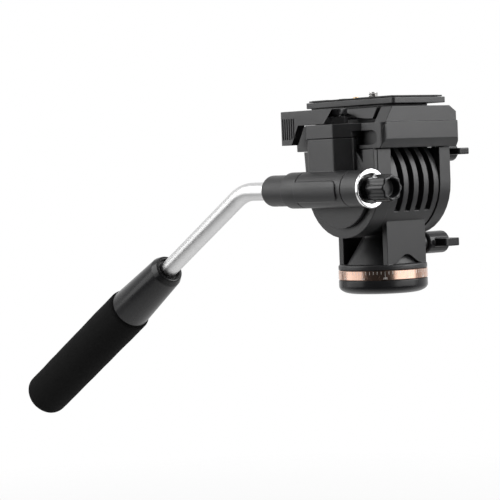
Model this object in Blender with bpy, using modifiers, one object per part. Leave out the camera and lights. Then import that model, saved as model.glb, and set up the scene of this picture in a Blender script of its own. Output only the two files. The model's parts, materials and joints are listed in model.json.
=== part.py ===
"""Fluid video head: a pan base, a slotted tilt drum, a yoke with a clamped plate and a bent pan handle.

Metres, +Z up. The origin is where the pan axis meets the underside of the base. +Y points the way the
camera looks, and the pan handle is on the +X side.
"""
import math

import bmesh
import bpy
from mathutils import Matrix, Vector

# Gaps, and how finely round shapes are divided
GAP = 0.0003
OVERRUN = 0.001
WELD = 0.000001
ROUND_LARGE = 36
ROUND_MEDIUM = 18
ROUND_SMALL = 12
CORNER_STEPS = 3
QUARTER = math.radians(90)

# Pan base
BASE_RADIUS = 0.030
BASE_ROUND_WIDTH = 0.0095
BASE_ROUND_HEIGHT = 0.0052
SHOULDER_Z = 0.0093
CUP_FLOOR = 0.006
RING_WALL = 0.0035
RING_HEIGHT = 0.0063
SPIGOT_WALL = 0.0027
BUSH_RADIUS = 0.008
BUSH_HOLE_RADIUS = 0.00476
BUSH_HEIGHT = 0.0105
FLANGE_RADIUS = 0.016
FLANGE_HEIGHT = 0.006
SPINDLE_RADIUS = 0.007
SPINDLE_THREAD_RADIUS = 0.005
SPINDLE_THREAD_LENGTH = 0.0085
SPINDLE_SCREW_CIRCLE = 0.012
SPINDLE_SCREW_COUNT = 3
SPINDLE_SCREW_GRIP = 0.0035
THRUST_WASHER = 0.001
SPRING_WASHER = 0.0012
NUT_FLATS = 0.017
NUT_HEIGHT = 0.0055

# Pan housing: collar, neck and tilt drum
COLLAR_HEIGHT = 0.0034
COLLAR_CHAMFER = 0.0007
HOUSING_BOSS_CLEARANCE = 0.0015
NECK_REACH = 0.0238
NECK_HALF_WIDTH = 0.0179
NECK_WALL = 0.0046
CORE_RADIUS = 0.0135
CONE_RADIUS = 0.024
CONE_HEIGHT = 0.0168
PAN_BUSH_WALL = 0.002
PAN_BUSH_CLEARANCE = 0.0013
NUT_CHAMBER_RADIUS = 0.0115
NUT_CHAMBER_CLEARANCE = 0.003
TILT_AXIS_Z = 0.073
DRUM_RADIUS = 0.0342
DRUM_HALF_WIDTH = 0.0221
DRUM_BORE_RADIUS = 0.019
SLOT_COUNT = 4
SLOT_FIRST_X = 0.013
SLOT_PITCH = 0.0093
SLOT_WIDTH = 0.0047
SLOT_DEPTH = 0.0072
SLOT_LOW_ANGLE = math.radians(-32.6)
SLOT_HIGH_ANGLE = math.radians(74)
SLOT_ARC_STEPS = 10
SCALLOP_HALF_WIDTH = 0.0132
SCALLOP_HEIGHT = 0.0062
SCALLOP_STEPS = 14

# Locking knobs
LOCK_BOLT_RADIUS = 0.0025
LOCK_PAD_LENGTH = 0.0032
PAN_LOCK_DROP = 0.0065
PAN_BOSS_RADIUS = 0.0055
PAN_BOSS_REACH = 0.038
PAN_HUB_RADIUS = 0.0077
PAN_HUB_LENGTH = 0.0197
PAN_WING_REACH = 0.0173
PAN_WING_ROOT = 0.0105
PAN_WING_TIP = 0.0140
PAN_WING_THICKNESS = 0.0055
TILT_LOCK_Y = 0.020
TILT_LOCK_RISE = 0.0202
TILT_HUB_RADIUS = 0.0065
TILT_HUB_LENGTH = 0.0143
TILT_WING_REACH = 0.0170
TILT_WING_ROOT = 0.0085
TILT_WING_TIP = 0.0105
TILT_WING_THICKNESS = 0.0044
LOCK_HUB_CHAMFER = 0.001
LOCK_WING_CORNER = 0.002
LOCK_WING_SET_BACK = 0.0002
LOCK_BOLT_SEAT = 0.010

# Tilt damper, in the drum's bore
AXLE_RADIUS = 0.005
TILT_BUSH_LENGTH = 0.0075
DAMPER_WALL = 0.0035
DAMPER_END_WALL = 0.0025
ROTOR_HUB_RADIUS = 0.008
ROTOR_DISC_COUNT = 3
ROTOR_DISC_THICKNESS = 0.0028

# Yoke
LEFT_ARM_THICKNESS = 0.0121
RIGHT_ARM_THICKNESS = 0.0102
ARM_RADIUS = 0.0350
ARM_REAR_Y = -0.0370
ARM_RISE = 0.0235
ARM_ARC_STEPS = 18
AXLE_HEAD_RADIUS = 0.007
AXLE_HEAD_HEIGHT = 0.0024
AXLE_SCREW_RADIUS = 0.002
AXLE_SCREW_GRIP = 0.008
AXLE_CAP_RADIUS = 0.012
AXLE_CAP_THICKNESS = 0.002

# Platform
PLATFORM_HALF_WIDTH = 0.0356
PLATFORM_FRONT_Y = 0.0427
PLATFORM_REAR_Y = -0.0450
PLATFORM_THICKNESS = 0.0171
PLATFORM_CORNER = 0.004
FRONT_CHAMFER_Y = 0.0042
FRONT_CHAMFER_Z = 0.0057
SADDLE_CLEARANCE = 0.0013
EAR_PAST_ARM = 0.0155
EAR_REAR_Y = -0.0193
EAR_FRONT_Y = 0.0095
EAR_DIAGONAL_PAST_ARM = 0.0055
EAR_DIAGONAL_Y = 0.018
EAR_END_Y = 0.022
EAR_THICKNESS = 0.0092
EAR_CORNER = 0.003
RECESS_REAR_Y = 0.0175
RECESS_FRONT_Y = 0.0359
RECESS_FOOT = 0.0027
RECESS_HEIGHT = 0.0091
RECESS_DEPTH = 0.004
STOP_REAR_Y = 0.0315
STOP_HEIGHT = 0.0101
STOP_SET_BACK = 0.0005
STOP_LEFT_TOP_X = 0.0265
STOP_LEFT_FOOT_X = 0.0330
STOP_RIGHT_TOP_X = 0.0265
STOP_RIGHT_X = 0.0326
STOP_RIGHT_CHAMFER = 0.004
BED_HALF_WIDTH = 0.0205
BED_HEIGHT = 0.0038
PLATFORM_SCREW_X = 0.0282
PLATFORM_SCREW_REAR_Y = -0.029
PLATFORM_SCREW_FRONT_Y = 0.024
PLATFORM_SCREW_GRIP = 0.010
SCREW_RADIUS = 0.0015
SCREW_HEAD_RADIUS = 0.0028
SCREW_HEAD_HEIGHT = 0.002

# Camera plate, its jaw and its lever
PLATE_HALF_WIDTH = 0.0245
PLATE_REAR_Y = -0.0452
PLATE_FRONT_Y = 0.0415
PLATE_LIFT = 0.0019
PLATE_THICKNESS = 0.0039
PLATE_CORNER = 0.0025
PAD_THICKNESS = 0.0009
PAD_INSET = 0.0015
TONGUE_TOP_HALF_WIDTH = 0.0200
TONGUE_FOOT_HALF_WIDTH = 0.0233
TONGUE_FRONT_Y = 0.0280
TONGUE_REAR_Y = -0.0440
JAW_FRONT_Y = 0.0280
JAW_REAR_Y = -0.0120
JAW_FOOT_X = 0.0275
JAW_FACE_LOW_X = 0.0313
JAW_FACE_LIFT = 0.0023
JAW_FOOT_REAR_Y = 0.0098
JAW_ARCH_LIP = 0.0026
JAW_ARCH_REACH_SHARES = (0.0, 0.2, 0.4, 0.55, 0.7)
JAW_ARCH_RISE_SHARES = (0.03, 0.1, 0.27, 0.58, 1.0)
RAIL_REAR_Y = -0.0400
LEVER_PIVOT_X = 0.0378
LEVER_PIVOT_Y = 0.0007
LEVER_HUB_RADIUS = 0.0075
LEVER_HUB_HEIGHT = 0.0044
LEVER_ARM_THICKNESS = 0.006
LEVER_FRONT_Y = 0.0100
LEVER_FRONT_SLANT = 0.0090
PAD_REAR_Y = -0.0415
PAD_DROP = 0.0227
PAD_LOW_FRONT_Y = -0.0316
PAD_HIGH_FRONT_Y = -0.0244
PAD_GROOVE_COUNT = 6
PAD_GROOVE_WIDTH = 0.0010
PAD_GROOVE_DEPTH = 0.0006
PAD_GROOVE_FIRST_Y = -0.0403
PAD_GROOVE_PITCH = 0.0022
PAD_GROOVE_FOOT = 0.0037
PAD_GROOVE_HEAD = 0.0050
CAP_RADIUS = 0.0072
CAP_THICKNESS = 0.0041
CAP_RISE = 0.0003
CAP_ROUND = 0.0008
PIVOT_COLLAR_RADIUS = 0.005
PIVOT_PIN_RADIUS = 0.0032
PIVOT_PIN_DEPTH = 0.008
CAMERA_SCREW_Y = -0.0030
CAMERA_SCREW_RADIUS = 0.003175
CAMERA_SCREW_STAND = 0.0042
CAMERA_SCREW_HEAD_RADIUS = 0.0075
CAMERA_SCREW_HEAD_HEIGHT = 0.0028
VIDEO_PIN_Y = -0.0204
VIDEO_PIN_RADIUS = 0.0019
VIDEO_PIN_STAND = 0.0018
VIDEO_PIN_FLANGE_RADIUS = 0.0027
VIDEO_PIN_FLANGE_HEIGHT = 0.0008
PIN_SPRING_WIRE = 0.00025
PIN_SPRING_TURNS = 3
PIN_SPRING_TURN_STEPS = 8
PIN_SPRING_LENGTH = 0.0045
PIN_WELL_ROOF = 0.0015
PIN_PLUG_LENGTH = 0.0025

# Handle mount on the left arm
MOUNT_DISC_RADIUS = 0.0285
MOUNT_DISC_THICKNESS = 0.003
PANEL_REAR_Y = 0.0240
COLUMN_REAR_Y = -0.0190
COLUMN_REAR_ROUND = 0.005
BARREL_DROP = 0.002
BARREL_RADIUS = 0.0122
BARREL_REAR_Y = -0.0209
BARREL_FRONT_Y = 0.0239
SHIELD_FRONT_Y = 0.0196
SHIELD_BELOW = 0.0080
SHIELD_ABOVE = 0.0058
SHIELD_PROUD = 0.001
SHIELD_ROUND = 0.004
SHIELD_SET_OUT = 0.005
MOUNT_SCREW_DROP = 0.0065
MOUNT_SCREW_FRONT_Y = 0.0080
MOUNT_SCREW_REAR_Y = -0.0100
MOUNT_SCREW_GRIP = 0.008
SLEEVE_PAST_ARM = 0.0038
ROSETTE_INNER_RADIUS = 0.0098
ROSETTE_RADIUS = 0.0129
ROSETTE_THICKNESS = 0.0026

# Handle
SOCKET_RADIUS = 0.0122
SOCKET_STEP_Y = -0.0353
SOCKET_NECK_RADIUS = 0.0106
SOCKET_REAR_Y = -0.0584
SOCKET_ROUND = 0.004
STUD_RADIUS = 0.004
STUD_INTO_KNOB = 0.0080
STUD_HEAD_LENGTH = 0.003
TUBE_RADIUS = 0.00625
TUBE_WALL = 0.0012
TUBE_START_Y = -0.0400
ELBOW_Y = -0.0864
ELBOW_RADIUS = 0.035
ELBOW_STEPS = 8
TUBE_ROUNDING = 4
DROOP = math.radians(31.7)
TUBE_END = 0.2765
SLEEVE_START = 0.1028
SLEEVE_END = 0.1596
SLEEVE_RIM_RADIUS = 0.0105
SLEEVE_SHOULDER = 0.0045
SLEEVE_MOUTH_RADIUS = 0.0084
SLEEVE_MOUTH_DEPTH = 0.003
SLEEVE_START_RADIUS = 0.0124
SLEEVE_END_RADIUS = 0.0152
CORE_END = 0.2865
GRIP_CORE_RADIUS = 0.0115
FOAM_RADIUS = 0.01675
FOAM_PAST_CORE = 0.011
FOAM_START_ROUND = 0.002
FOAM_END_ROUND = 0.0075
FOAM_ROUND_STEPS = 4
CLAMP_SCREW_Y = -0.0500
KNOB_RADIUS = 0.0090
KNOB_LOBE_DEPTH = 0.0011
KNOB_LOBE_COUNT = 8
KNOB_POINTS = 40
KNOB_NECK_LENGTH = 0.0052
KNOB_LENGTH = 0.0169
KNOB_NECK_RADIUS = 0.0075
KNOB_DISH_RADIUS = 0.0060
KNOB_DISH_DEPTH = 0.0055
KNOB_BORE_DEPTH = 0.010
INSERT_RADIUS = 0.0055

# Heights and places worked out from the sizes above
pan_lock_z = TILT_AXIS_Z - ARM_RADIUS - PAN_LOCK_DROP
nut_chamber_floor = pan_lock_z + LOCK_BOLT_RADIUS + NUT_CHAMBER_CLEARANCE
ring_bottom = SHOULDER_Z + GAP
ring_top = ring_bottom + RING_HEIGHT
spigot_radius = BASE_RADIUS - RING_WALL - GAP
cup_inner_radius = spigot_radius - SPIGOT_WALL
housing_boss_radius = cup_inner_radius - HOUSING_BOSS_CLEARANCE
flange_bottom = CUP_FLOOR + GAP
flange_top = flange_bottom + FLANGE_HEIGHT
washer_top = flange_top + GAP + THRUST_WASHER
housing_bottom = washer_top + GAP
collar_bottom = ring_top + GAP
collar_top = collar_bottom + COLLAR_HEIGHT
housing_bore = SPINDLE_RADIUS + GAP + PAN_BUSH_WALL + GAP
spring_washer_bottom = nut_chamber_floor + GAP
nut_bottom = spring_washer_bottom + SPRING_WASHER + GAP
thread_top = nut_chamber_floor + SPINDLE_THREAD_LENGTH
neck_top = TILT_AXIS_Z - math.sqrt(DRUM_RADIUS ** 2 - NECK_REACH ** 2) + OVERRUN
core_top = TILT_AXIS_Z - (DRUM_RADIUS + DRUM_BORE_RADIUS) / 2
arm_inner = DRUM_HALF_WIDTH + GAP
left_arm_outer = arm_inner + LEFT_ARM_THICKNESS
right_arm_outer = arm_inner + RIGHT_ARM_THICKNESS
mount_inner = left_arm_outer + GAP
barrel_x = left_arm_outer + GAP + SOCKET_RADIUS
mount_disc_outer = mount_inner + MOUNT_DISC_THICKNESS
ear_x = left_arm_outer + EAR_PAST_ARM
ear_diagonal_x = left_arm_outer + EAR_DIAGONAL_PAST_ARM
shield_near_x = barrel_x + SHIELD_SET_OUT
sleeve_front_y = ARM_RADIUS + SLEEVE_PAST_ARM
knob_start_y = sleeve_front_y + KNOB_NECK_LENGTH
knob_end_y = knob_start_y + KNOB_LENGTH
stud_front_y = knob_start_y + STUD_INTO_KNOB
foam_end = CORE_END + FOAM_PAST_CORE
saddle_radius = DRUM_RADIUS + SADDLE_CLEARANCE
tilt_lock_z = TILT_AXIS_Z + TILT_LOCK_RISE
barrel_z = TILT_AXIS_Z - BARREL_DROP
shield_low = barrel_z - SHIELD_BELOW
shield_high = barrel_z + SHIELD_ABOVE
arm_top = TILT_AXIS_Z + ARM_RISE
mount_screw_z = arm_top - MOUNT_SCREW_DROP
platform_bottom = arm_top + GAP
platform_top = platform_bottom + PLATFORM_THICKNESS
ear_bottom = platform_top - EAR_THICKNESS
recess_low = platform_bottom + RECESS_FOOT
recess_high = recess_low + RECESS_HEIGHT
stop_top = platform_top + STOP_HEIGHT
stop_front_y = PLATFORM_FRONT_Y - STOP_SET_BACK
bed_top = platform_top + BED_HEIGHT
tongue_foot = bed_top + GAP
plate_bottom = stop_top + PLATE_LIFT
plate_top = plate_bottom + PLATE_THICKNESS
pad_bottom = plate_top + GAP
pad_top = pad_bottom + PAD_THICKNESS
lever_bottom = platform_top + GAP
lever_hub_top = lever_bottom + LEVER_HUB_HEIGHT
stop_slope = (STOP_LEFT_FOOT_X - STOP_LEFT_TOP_X) / STOP_HEIGHT
jaw_face_low = platform_top + JAW_FACE_LIFT
jaw_arch_top = stop_top - JAW_ARCH_LIP
pad_low = stop_top - PAD_DROP
groove_low = pad_low + PAD_GROOVE_FOOT
groove_high = stop_top - PAD_GROOVE_HEAD
cap_top = stop_top + CAP_RISE

FINISHES = {
    "black_casting": ((0.022, 0.022, 0.023), 0.45, 0.0),
    "black_gloss": ((0.012, 0.012, 0.012), 0.20, 0.0),
    "black_plastic": ((0.025, 0.025, 0.026), 0.38, 0.0),
    "black_foam": ((0.010, 0.010, 0.010), 0.95, 0.0),
    "black_rubber": ((0.018, 0.018, 0.018), 0.80, 0.0),
    "copper": ((0.80, 0.45, 0.30), 0.28, 1.0),
    "brass": ((0.78, 0.55, 0.30), 0.30, 1.0),
    "chrome": ((0.85, 0.85, 0.86), 0.08, 1.0),
    "steel": ((0.55, 0.55, 0.56), 0.30, 1.0),
    "aluminium": ((0.75, 0.76, 0.77), 0.35, 1.0),
    "nylon": ((0.75, 0.73, 0.68), 0.50, 0.0),
}

AXIS_TURN = {
    "X": (0, QUARTER, 0),
    "Y": (-QUARTER, 0, 0),
    "Z": (0, 0, 0),
}
PLATE_TURN = {
    "X": Matrix(((0, 0, 1), (1, 0, 0), (0, 1, 0))),
    "Y": Matrix(((1, 0, 0), (0, 0, -1), (0, 1, 0))),
    "Z": Matrix.Identity(3),
}


def clear_scene():
    """Remove whatever the scene holds, and make the two collections."""
    for obj in list(bpy.data.objects):
        bpy.data.objects.remove(obj, do_unlink=True)
    for name in ("fluid_video_head", "cutters"):
        collection = bpy.data.collections.new(name)
        bpy.context.scene.collection.children.link(collection)


def new_object(name, mesh, collection="cutters"):
    """Put a mesh in the scene. A shape is a cutter until it is finished as a piece."""
    obj = bpy.data.objects.new(name, mesh)
    bpy.data.collections[collection].objects.link(obj)
    if collection == "cutters":
        obj.hide_render = True
        obj.display_type = 'WIRE'
    return obj


def weld(mesh):
    """Close a mesh's seams and point its faces outwards."""
    bm = bmesh.new()
    bm.from_mesh(mesh)
    bmesh.ops.remove_doubles(bm, verts=bm.verts, dist=WELD)
    bmesh.ops.recalc_face_normals(bm, faces=bm.faces)
    bm.to_mesh(mesh)
    bm.free()


def evaluated_mesh(obj):
    """The mesh of an object with its modifiers or its curve worked out."""
    depsgraph = bpy.context.evaluated_depsgraph_get()
    return bpy.data.meshes.new_from_object(obj.evaluated_get(depsgraph))


def turned(name, profile, steps=ROUND_LARGE, axis="Z", at=(0, 0, 0)):
    """A turned shape: (radius, height) points, down the outer side, turned about an axis through a point."""
    mesh = bpy.data.meshes.new(name)
    links = [(index, index + 1) for index in range(len(profile) - 1)]
    if all(radius > 0 for radius, height in profile):
        links.append((len(profile) - 1, 0))
    mesh.from_pydata([(radius, 0, height) for radius, height in profile], links, [])
    obj = new_object(name, mesh)
    screw = obj.modifiers.new("turn", 'SCREW')
    screw.steps = steps
    screw.render_steps = steps
    screw.use_merge_vertices = True
    screw.merge_threshold = WELD
    obj.rotation_euler = AXIS_TURN[axis]
    obj.location = at
    return obj


def rod(name, radius, start, end, steps=ROUND_MEDIUM, axis="Z", at=(0, 0, 0)):
    """A cylinder between two heights along an axis through a point."""
    bm = bmesh.new()
    bmesh.ops.create_cone(
        bm, cap_ends=True, segments=steps, depth=end - start, radius1=radius, radius2=radius)
    bmesh.ops.translate(bm, verts=bm.verts, vec=(0, 0, (start + end) / 2))
    mesh = bpy.data.meshes.new(name)
    bm.to_mesh(mesh)
    bm.free()
    obj = new_object(name, mesh)
    obj.rotation_euler = AXIS_TURN[axis]
    obj.location = at
    return obj


def block(name, low, high):
    """A box between its lowest and highest corners."""
    bm = bmesh.new()
    bmesh.ops.create_cube(bm, size=1)
    size = [top - bottom for bottom, top in zip(low, high)]
    bmesh.ops.scale(bm, verts=bm.verts, vec=size)
    mesh = bpy.data.meshes.new(name)
    bm.to_mesh(mesh)
    bm.free()
    obj = new_object(name, mesh)
    obj.location = [(bottom + top) / 2 for bottom, top in zip(low, high)]
    return obj


def slab(name, outline, start, end, axis="Z"):
    """A flat outline drawn out along an axis: (y, z) points for X, (x, z) for Y and (x, y) for Z."""
    curve = bpy.data.curves.new(name, 'CURVE')
    curve.dimensions = '2D'
    curve.fill_mode = 'BOTH'
    curve.extrude = (end - start) / 2
    spline = curve.splines.new('POLY')
    spline.points.add(len(outline) - 1)
    for point, (across, up) in zip(spline.points, outline):
        point.co = (across, up, 0, 1)
    spline.use_cyclic_u = True
    drawn = new_object(name + "_outline", curve)
    mesh = evaluated_mesh(drawn)
    bpy.data.objects.remove(drawn, do_unlink=True)
    weld(mesh)
    obj = new_object(name, mesh)
    middle = (start + end) / 2
    place = {"X": (middle, 0, 0), "Y": (0, middle, 0), "Z": (0, 0, middle)}[axis]
    obj.rotation_euler = PLATE_TURN[axis].to_euler()
    obj.location = place
    return obj


def arc(centre, radius, first, last, steps):
    """Points of an arc about a centre, from one angle to another."""
    turns = [first + (last - first) * step / steps for step in range(steps + 1)]
    return [(centre[0] + radius * math.cos(turn), centre[1] + radius * math.sin(turn)) for turn in turns]


def rounded(corners, steps=CORNER_STEPS):
    """The points of an outline whose corners, given as (x, y, radius), are rounded by arcs."""
    points = []
    for index, (across, up, radius) in enumerate(corners):
        corner = Vector((across, up))
        if radius == 0:
            points.append((across, up))
            continue
        before = (Vector(corners[index - 1][:2]) - corner).normalized()
        after = (Vector(corners[(index + 1) % len(corners)][:2]) - corner).normalized()
        half = before.angle(after) / 2
        centre = corner + (before + after).normalized() * (radius / math.sin(half))
        start = corner + before * (radius / math.tan(half)) - centre
        end = corner + after * (radius / math.tan(half)) - centre
        first = math.atan2(start.y, start.x)
        sweep = math.atan2(start.x * end.y - start.y * end.x, start.dot(end))
        points += arc(centre, radius, first, first + sweep, steps)
    return points


def combine(obj, other, operation):
    """Cut, join or intersect an object with another one."""
    boolean = obj.modifiers.new(operation.lower(), 'BOOLEAN')
    boolean.operation = operation
    boolean.solver = 'EXACT'
    boolean.object = other
    return obj


def cut(obj, *others):
    """Cut the other shapes out of an object."""
    for other in others:
        combine(obj, other, 'DIFFERENCE')
    return obj


def join(obj, *others):
    """Join the other shapes to an object."""
    for other in others:
        combine(obj, other, 'UNION')
    return obj


def piece(obj, finish, body):
    """Finish a shape as a named piece of the head: its modifiers, its shading, its material and its body."""
    mesh = evaluated_mesh(obj)
    mesh.name = obj.name
    obj.modifiers.clear()
    obj.data = mesh
    weld(mesh)
    mesh.shade_smooth()
    mesh.set_sharp_from_angle(angle=math.radians(35))
    bpy.data.collections["cutters"].objects.unlink(obj)
    bpy.data.collections["fluid_video_head"].objects.link(obj)
    obj.hide_render = False
    obj.display_type = 'TEXTURED'
    colour, roughness, metallic = FINISHES[finish]
    material = bpy.data.materials.new(obj.name)
    material.use_nodes = True
    shader = material.node_tree.nodes["Principled BSDF"]
    shader.inputs["Base Color"].default_value = (*colour, 1)
    shader.inputs["Roughness"].default_value = roughness
    shader.inputs["Metallic"].default_value = metallic
    mesh.materials.clear()
    mesh.materials.append(material)
    obj.parent = body
    obj.matrix_parent_inverse = Matrix.Translation(-body.location)
    return obj


def joint_empty(name, at):
    """The empty that a body's pieces hang on, at its joint's axis."""
    empty = bpy.data.objects.new(name, None)
    empty.location = at
    bpy.data.collections["fluid_video_head"].objects.link(empty)
    return empty


def washer(name, inner, outer, bottom, top, steps=ROUND_MEDIUM, axis="Z", at=(0, 0, 0)):
    """A plain ring."""
    return turned(name, [(outer, top), (outer, bottom), (inner, bottom), (inner, top)], steps, axis, at)


def screw(name, head_radius, head_height, radius, length, at, towards):
    """A cap screw whose head's outer face is at a point, with its shank running along an axis."""
    axis = towards[1]
    sense = -1 if towards[0] == "-" else 1
    head_low, head_high = sorted((0, sense * head_height))
    shank_low, shank_high = sorted((sense * head_height / 2, sense * length))
    head = rod(name, head_radius, head_low, head_high, ROUND_SMALL, axis, at)
    shank = rod(name + "_shank", radius, shank_low, shank_high, ROUND_SMALL, axis, at)
    return join(head, shank)


def make_base_cup(body):
    """The base: a round cup whose rim carries the degree ring."""
    profile = [(spigot_radius, ring_top - GAP), (spigot_radius, SHOULDER_Z), (BASE_RADIUS, SHOULDER_Z)]
    centre = (BASE_RADIUS - BASE_ROUND_WIDTH, BASE_ROUND_HEIGHT)
    for across, up in arc((0, 0), 1, 0, -QUARTER, CORNER_STEPS + 2):
        profile.append((centre[0] + BASE_ROUND_WIDTH * across, centre[1] + BASE_ROUND_HEIGHT * up))
    profile += [(BUSH_RADIUS + GAP, 0), (BUSH_RADIUS + GAP, CUP_FLOOR), (cup_inner_radius, CUP_FLOOR)]
    profile.append((cup_inner_radius, ring_top - GAP))
    cup = turned("base_cup", profile)
    for x, y in spindle_screw_places():
        at = (x, y, 0)
        hole_top = CUP_FLOOR + OVERRUN
        cut(cup, rod("cup_screw_hole", SCREW_RADIUS + GAP, -OVERRUN, hole_top, ROUND_SMALL, "Z", at))
        sink = SCREW_HEAD_HEIGHT + 2 * GAP
        cut(cup, rod("cup_screw_sink", SCREW_HEAD_RADIUS + GAP, -OVERRUN, sink, ROUND_SMALL, "Z", at))
    return piece(cup, "black_gloss", body)


def spindle_screw_places():
    """Where the screws that hold the spindle stand, seen from above."""
    turns = [QUARTER + index * 4 * QUARTER / SPINDLE_SCREW_COUNT for index in range(SPINDLE_SCREW_COUNT)]
    return [(SPINDLE_SCREW_CIRCLE * math.cos(turn), SPINDLE_SCREW_CIRCLE * math.sin(turn)) for turn in turns]


def make_spindle(body):
    """The pan spindle, its threaded tripod bush, and the screws that hold it in the cup."""
    piece(washer("tripod_bush", BUSH_HOLE_RADIUS, BUSH_RADIUS, GAP, BUSH_HEIGHT), "brass", body)
    shaft_top = nut_chamber_floor - GAP
    spindle = turned("pan_spindle", [
        (0, thread_top), (SPINDLE_THREAD_RADIUS, thread_top), (SPINDLE_THREAD_RADIUS, shaft_top),
        (SPINDLE_RADIUS, shaft_top), (SPINDLE_RADIUS, flange_top), (FLANGE_RADIUS, flange_top),
        (FLANGE_RADIUS, flange_bottom), (BUSH_RADIUS + GAP, flange_bottom),
        (BUSH_RADIUS + GAP, BUSH_HEIGHT + GAP), (0, BUSH_HEIGHT + GAP)], ROUND_MEDIUM)
    length = flange_bottom + SPINDLE_SCREW_GRIP
    for index, (x, y) in enumerate(spindle_screw_places()):
        hole_top = GAP + length + GAP
        cut(spindle, rod("spindle_hole", SCREW_RADIUS + GAP, 0, hole_top, ROUND_SMALL, "Z", (x, y, 0)))
        name = f"spindle_screw_{index + 1}"
        fastener = screw(name, SCREW_HEAD_RADIUS, SCREW_HEAD_HEIGHT, SCREW_RADIUS, length, (x, y, GAP), "+Z")
        piece(fastener, "steel", body)
    piece(spindle, "steel", body)


def make_spindle_stack(body):
    """What runs on the spindle: the thrust washer below the housing, and the spring washer and nut."""
    thrust = washer("thrust_washer", SPINDLE_RADIUS + GAP, FLANGE_RADIUS - GAP, flange_top + GAP, washer_top)
    piece(thrust, "nylon", body)
    spring = washer(
        "spring_washer", SPINDLE_THREAD_RADIUS + GAP, NUT_FLATS / 2, spring_washer_bottom,
        spring_washer_bottom + SPRING_WASHER)
    piece(spring, "steel", body)
    corner = NUT_FLATS / 2 / math.cos(QUARTER / 3)
    nut = rod("spindle_nut", corner, nut_bottom, nut_bottom + NUT_HEIGHT, 6)
    cut(nut, rod("nut_bore", SPINDLE_THREAD_RADIUS + GAP, 0, thread_top + OVERRUN))
    piece(nut, "steel", body)


def make_degree_ring(body):
    """The copper ring that shows the pan angle."""
    ring = washer("degree_ring", spigot_radius + GAP, BASE_RADIUS, ring_bottom, ring_top, ROUND_LARGE)
    piece(ring, "copper", body)


def neck_wall(side):
    """One of the two upright walls of the neck, at the front (1) or the rear (-1)."""
    low_y, high_y = sorted((side * NECK_REACH, side * (NECK_REACH - NECK_WALL)))
    foot = collar_top - COLLAR_HEIGHT / 2
    wall = block("neck_wall", (-NECK_HALF_WIDTH, low_y, foot), (NECK_HALF_WIDTH, high_y, neck_top))
    if side > 0:
        bell = []
        for step in range(SCALLOP_STEPS + 1):
            share = 2 * step / SCALLOP_STEPS - 1
            rise = SCALLOP_HEIGHT * (1 + math.cos(2 * QUARTER * share)) / 2
            bell.append((SCALLOP_HALF_WIDTH * share, collar_top + rise))
        cut(wall, slab("scallop", bell, low_y - OVERRUN, high_y + OVERRUN, "Y"))
    return wall


def make_pan_housing(body):
    """The pan housing: collar, cone and core in an open neck, with the slotted tilt drum across its top."""
    housing = turned("pan_housing", [
        (0, core_top), (CORE_RADIUS, core_top), (CORE_RADIUS, collar_top + CONE_HEIGHT),
        (CONE_RADIUS, collar_top), (BASE_RADIUS - COLLAR_CHAMFER, collar_top),
        (BASE_RADIUS, collar_top - COLLAR_CHAMFER), (BASE_RADIUS, collar_bottom),
        (housing_boss_radius, collar_bottom), (housing_boss_radius, housing_bottom), (0, housing_bottom)])
    join(housing, neck_wall(1), neck_wall(-1))
    tilt_axis = (0, 0, TILT_AXIS_Z)
    drum = rod("drum", DRUM_RADIUS, -DRUM_HALF_WIDTH, DRUM_HALF_WIDTH, ROUND_LARGE, "X", tilt_axis)
    boss_at = (0, 0, pan_lock_z)
    boss = rod("pan_lock_boss", PAN_BOSS_RADIUS, -PAN_BOSS_REACH, 0, ROUND_MEDIUM, "X", boss_at)
    join(housing, drum, boss)
    floor = DRUM_RADIUS - SLOT_DEPTH
    for index in range(SLOT_COUNT):
        past = DRUM_RADIUS + OVERRUN
        outline = arc((0, TILT_AXIS_Z), past, SLOT_LOW_ANGLE, SLOT_HIGH_ANGLE, SLOT_ARC_STEPS)
        outline += arc((0, TILT_AXIS_Z), floor, SLOT_HIGH_ANGLE, SLOT_LOW_ANGLE, SLOT_ARC_STEPS)
        middle = SLOT_FIRST_X - index * SLOT_PITCH
        cut(housing, slab("drum_slot", outline, middle - SLOT_WIDTH / 2, middle + SLOT_WIDTH / 2, "X"))
    past = DRUM_HALF_WIDTH + OVERRUN
    cut(
        housing,
        rod("drum_bore", DRUM_BORE_RADIUS, -past, past, ROUND_MEDIUM, "X", tilt_axis),
        rod("nut_chamber", NUT_CHAMBER_RADIUS, nut_chamber_floor, TILT_AXIS_Z),
        rod("spindle_bore", housing_bore, housing_bottom - OVERRUN, nut_chamber_floor + OVERRUN),
        rod("pan_lock_bore", LOCK_BOLT_RADIUS + GAP, -PAN_BOSS_REACH - OVERRUN, 0, ROUND_SMALL, "X", boss_at))
    return piece(housing, "black_casting", body)


def make_pan_bearing(body):
    """The bush that the housing turns on, and the pad that the pan lock presses on the spindle."""
    inner = SPINDLE_RADIUS + GAP
    bush_bottom = housing_bottom + GAP
    bush_top = pan_lock_z - LOCK_BOLT_RADIUS - PAN_BUSH_CLEARANCE
    bush = washer("pan_bush", inner, inner + PAN_BUSH_WALL, bush_bottom, bush_top)
    piece(bush, "brass", body)
    pad = rod(
        "pan_lock_pad", LOCK_BOLT_RADIUS, -inner - LOCK_PAD_LENGTH, -inner, ROUND_SMALL, "X",
        (0, 0, pan_lock_z))
    piece(pad, "nylon", body)


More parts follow.
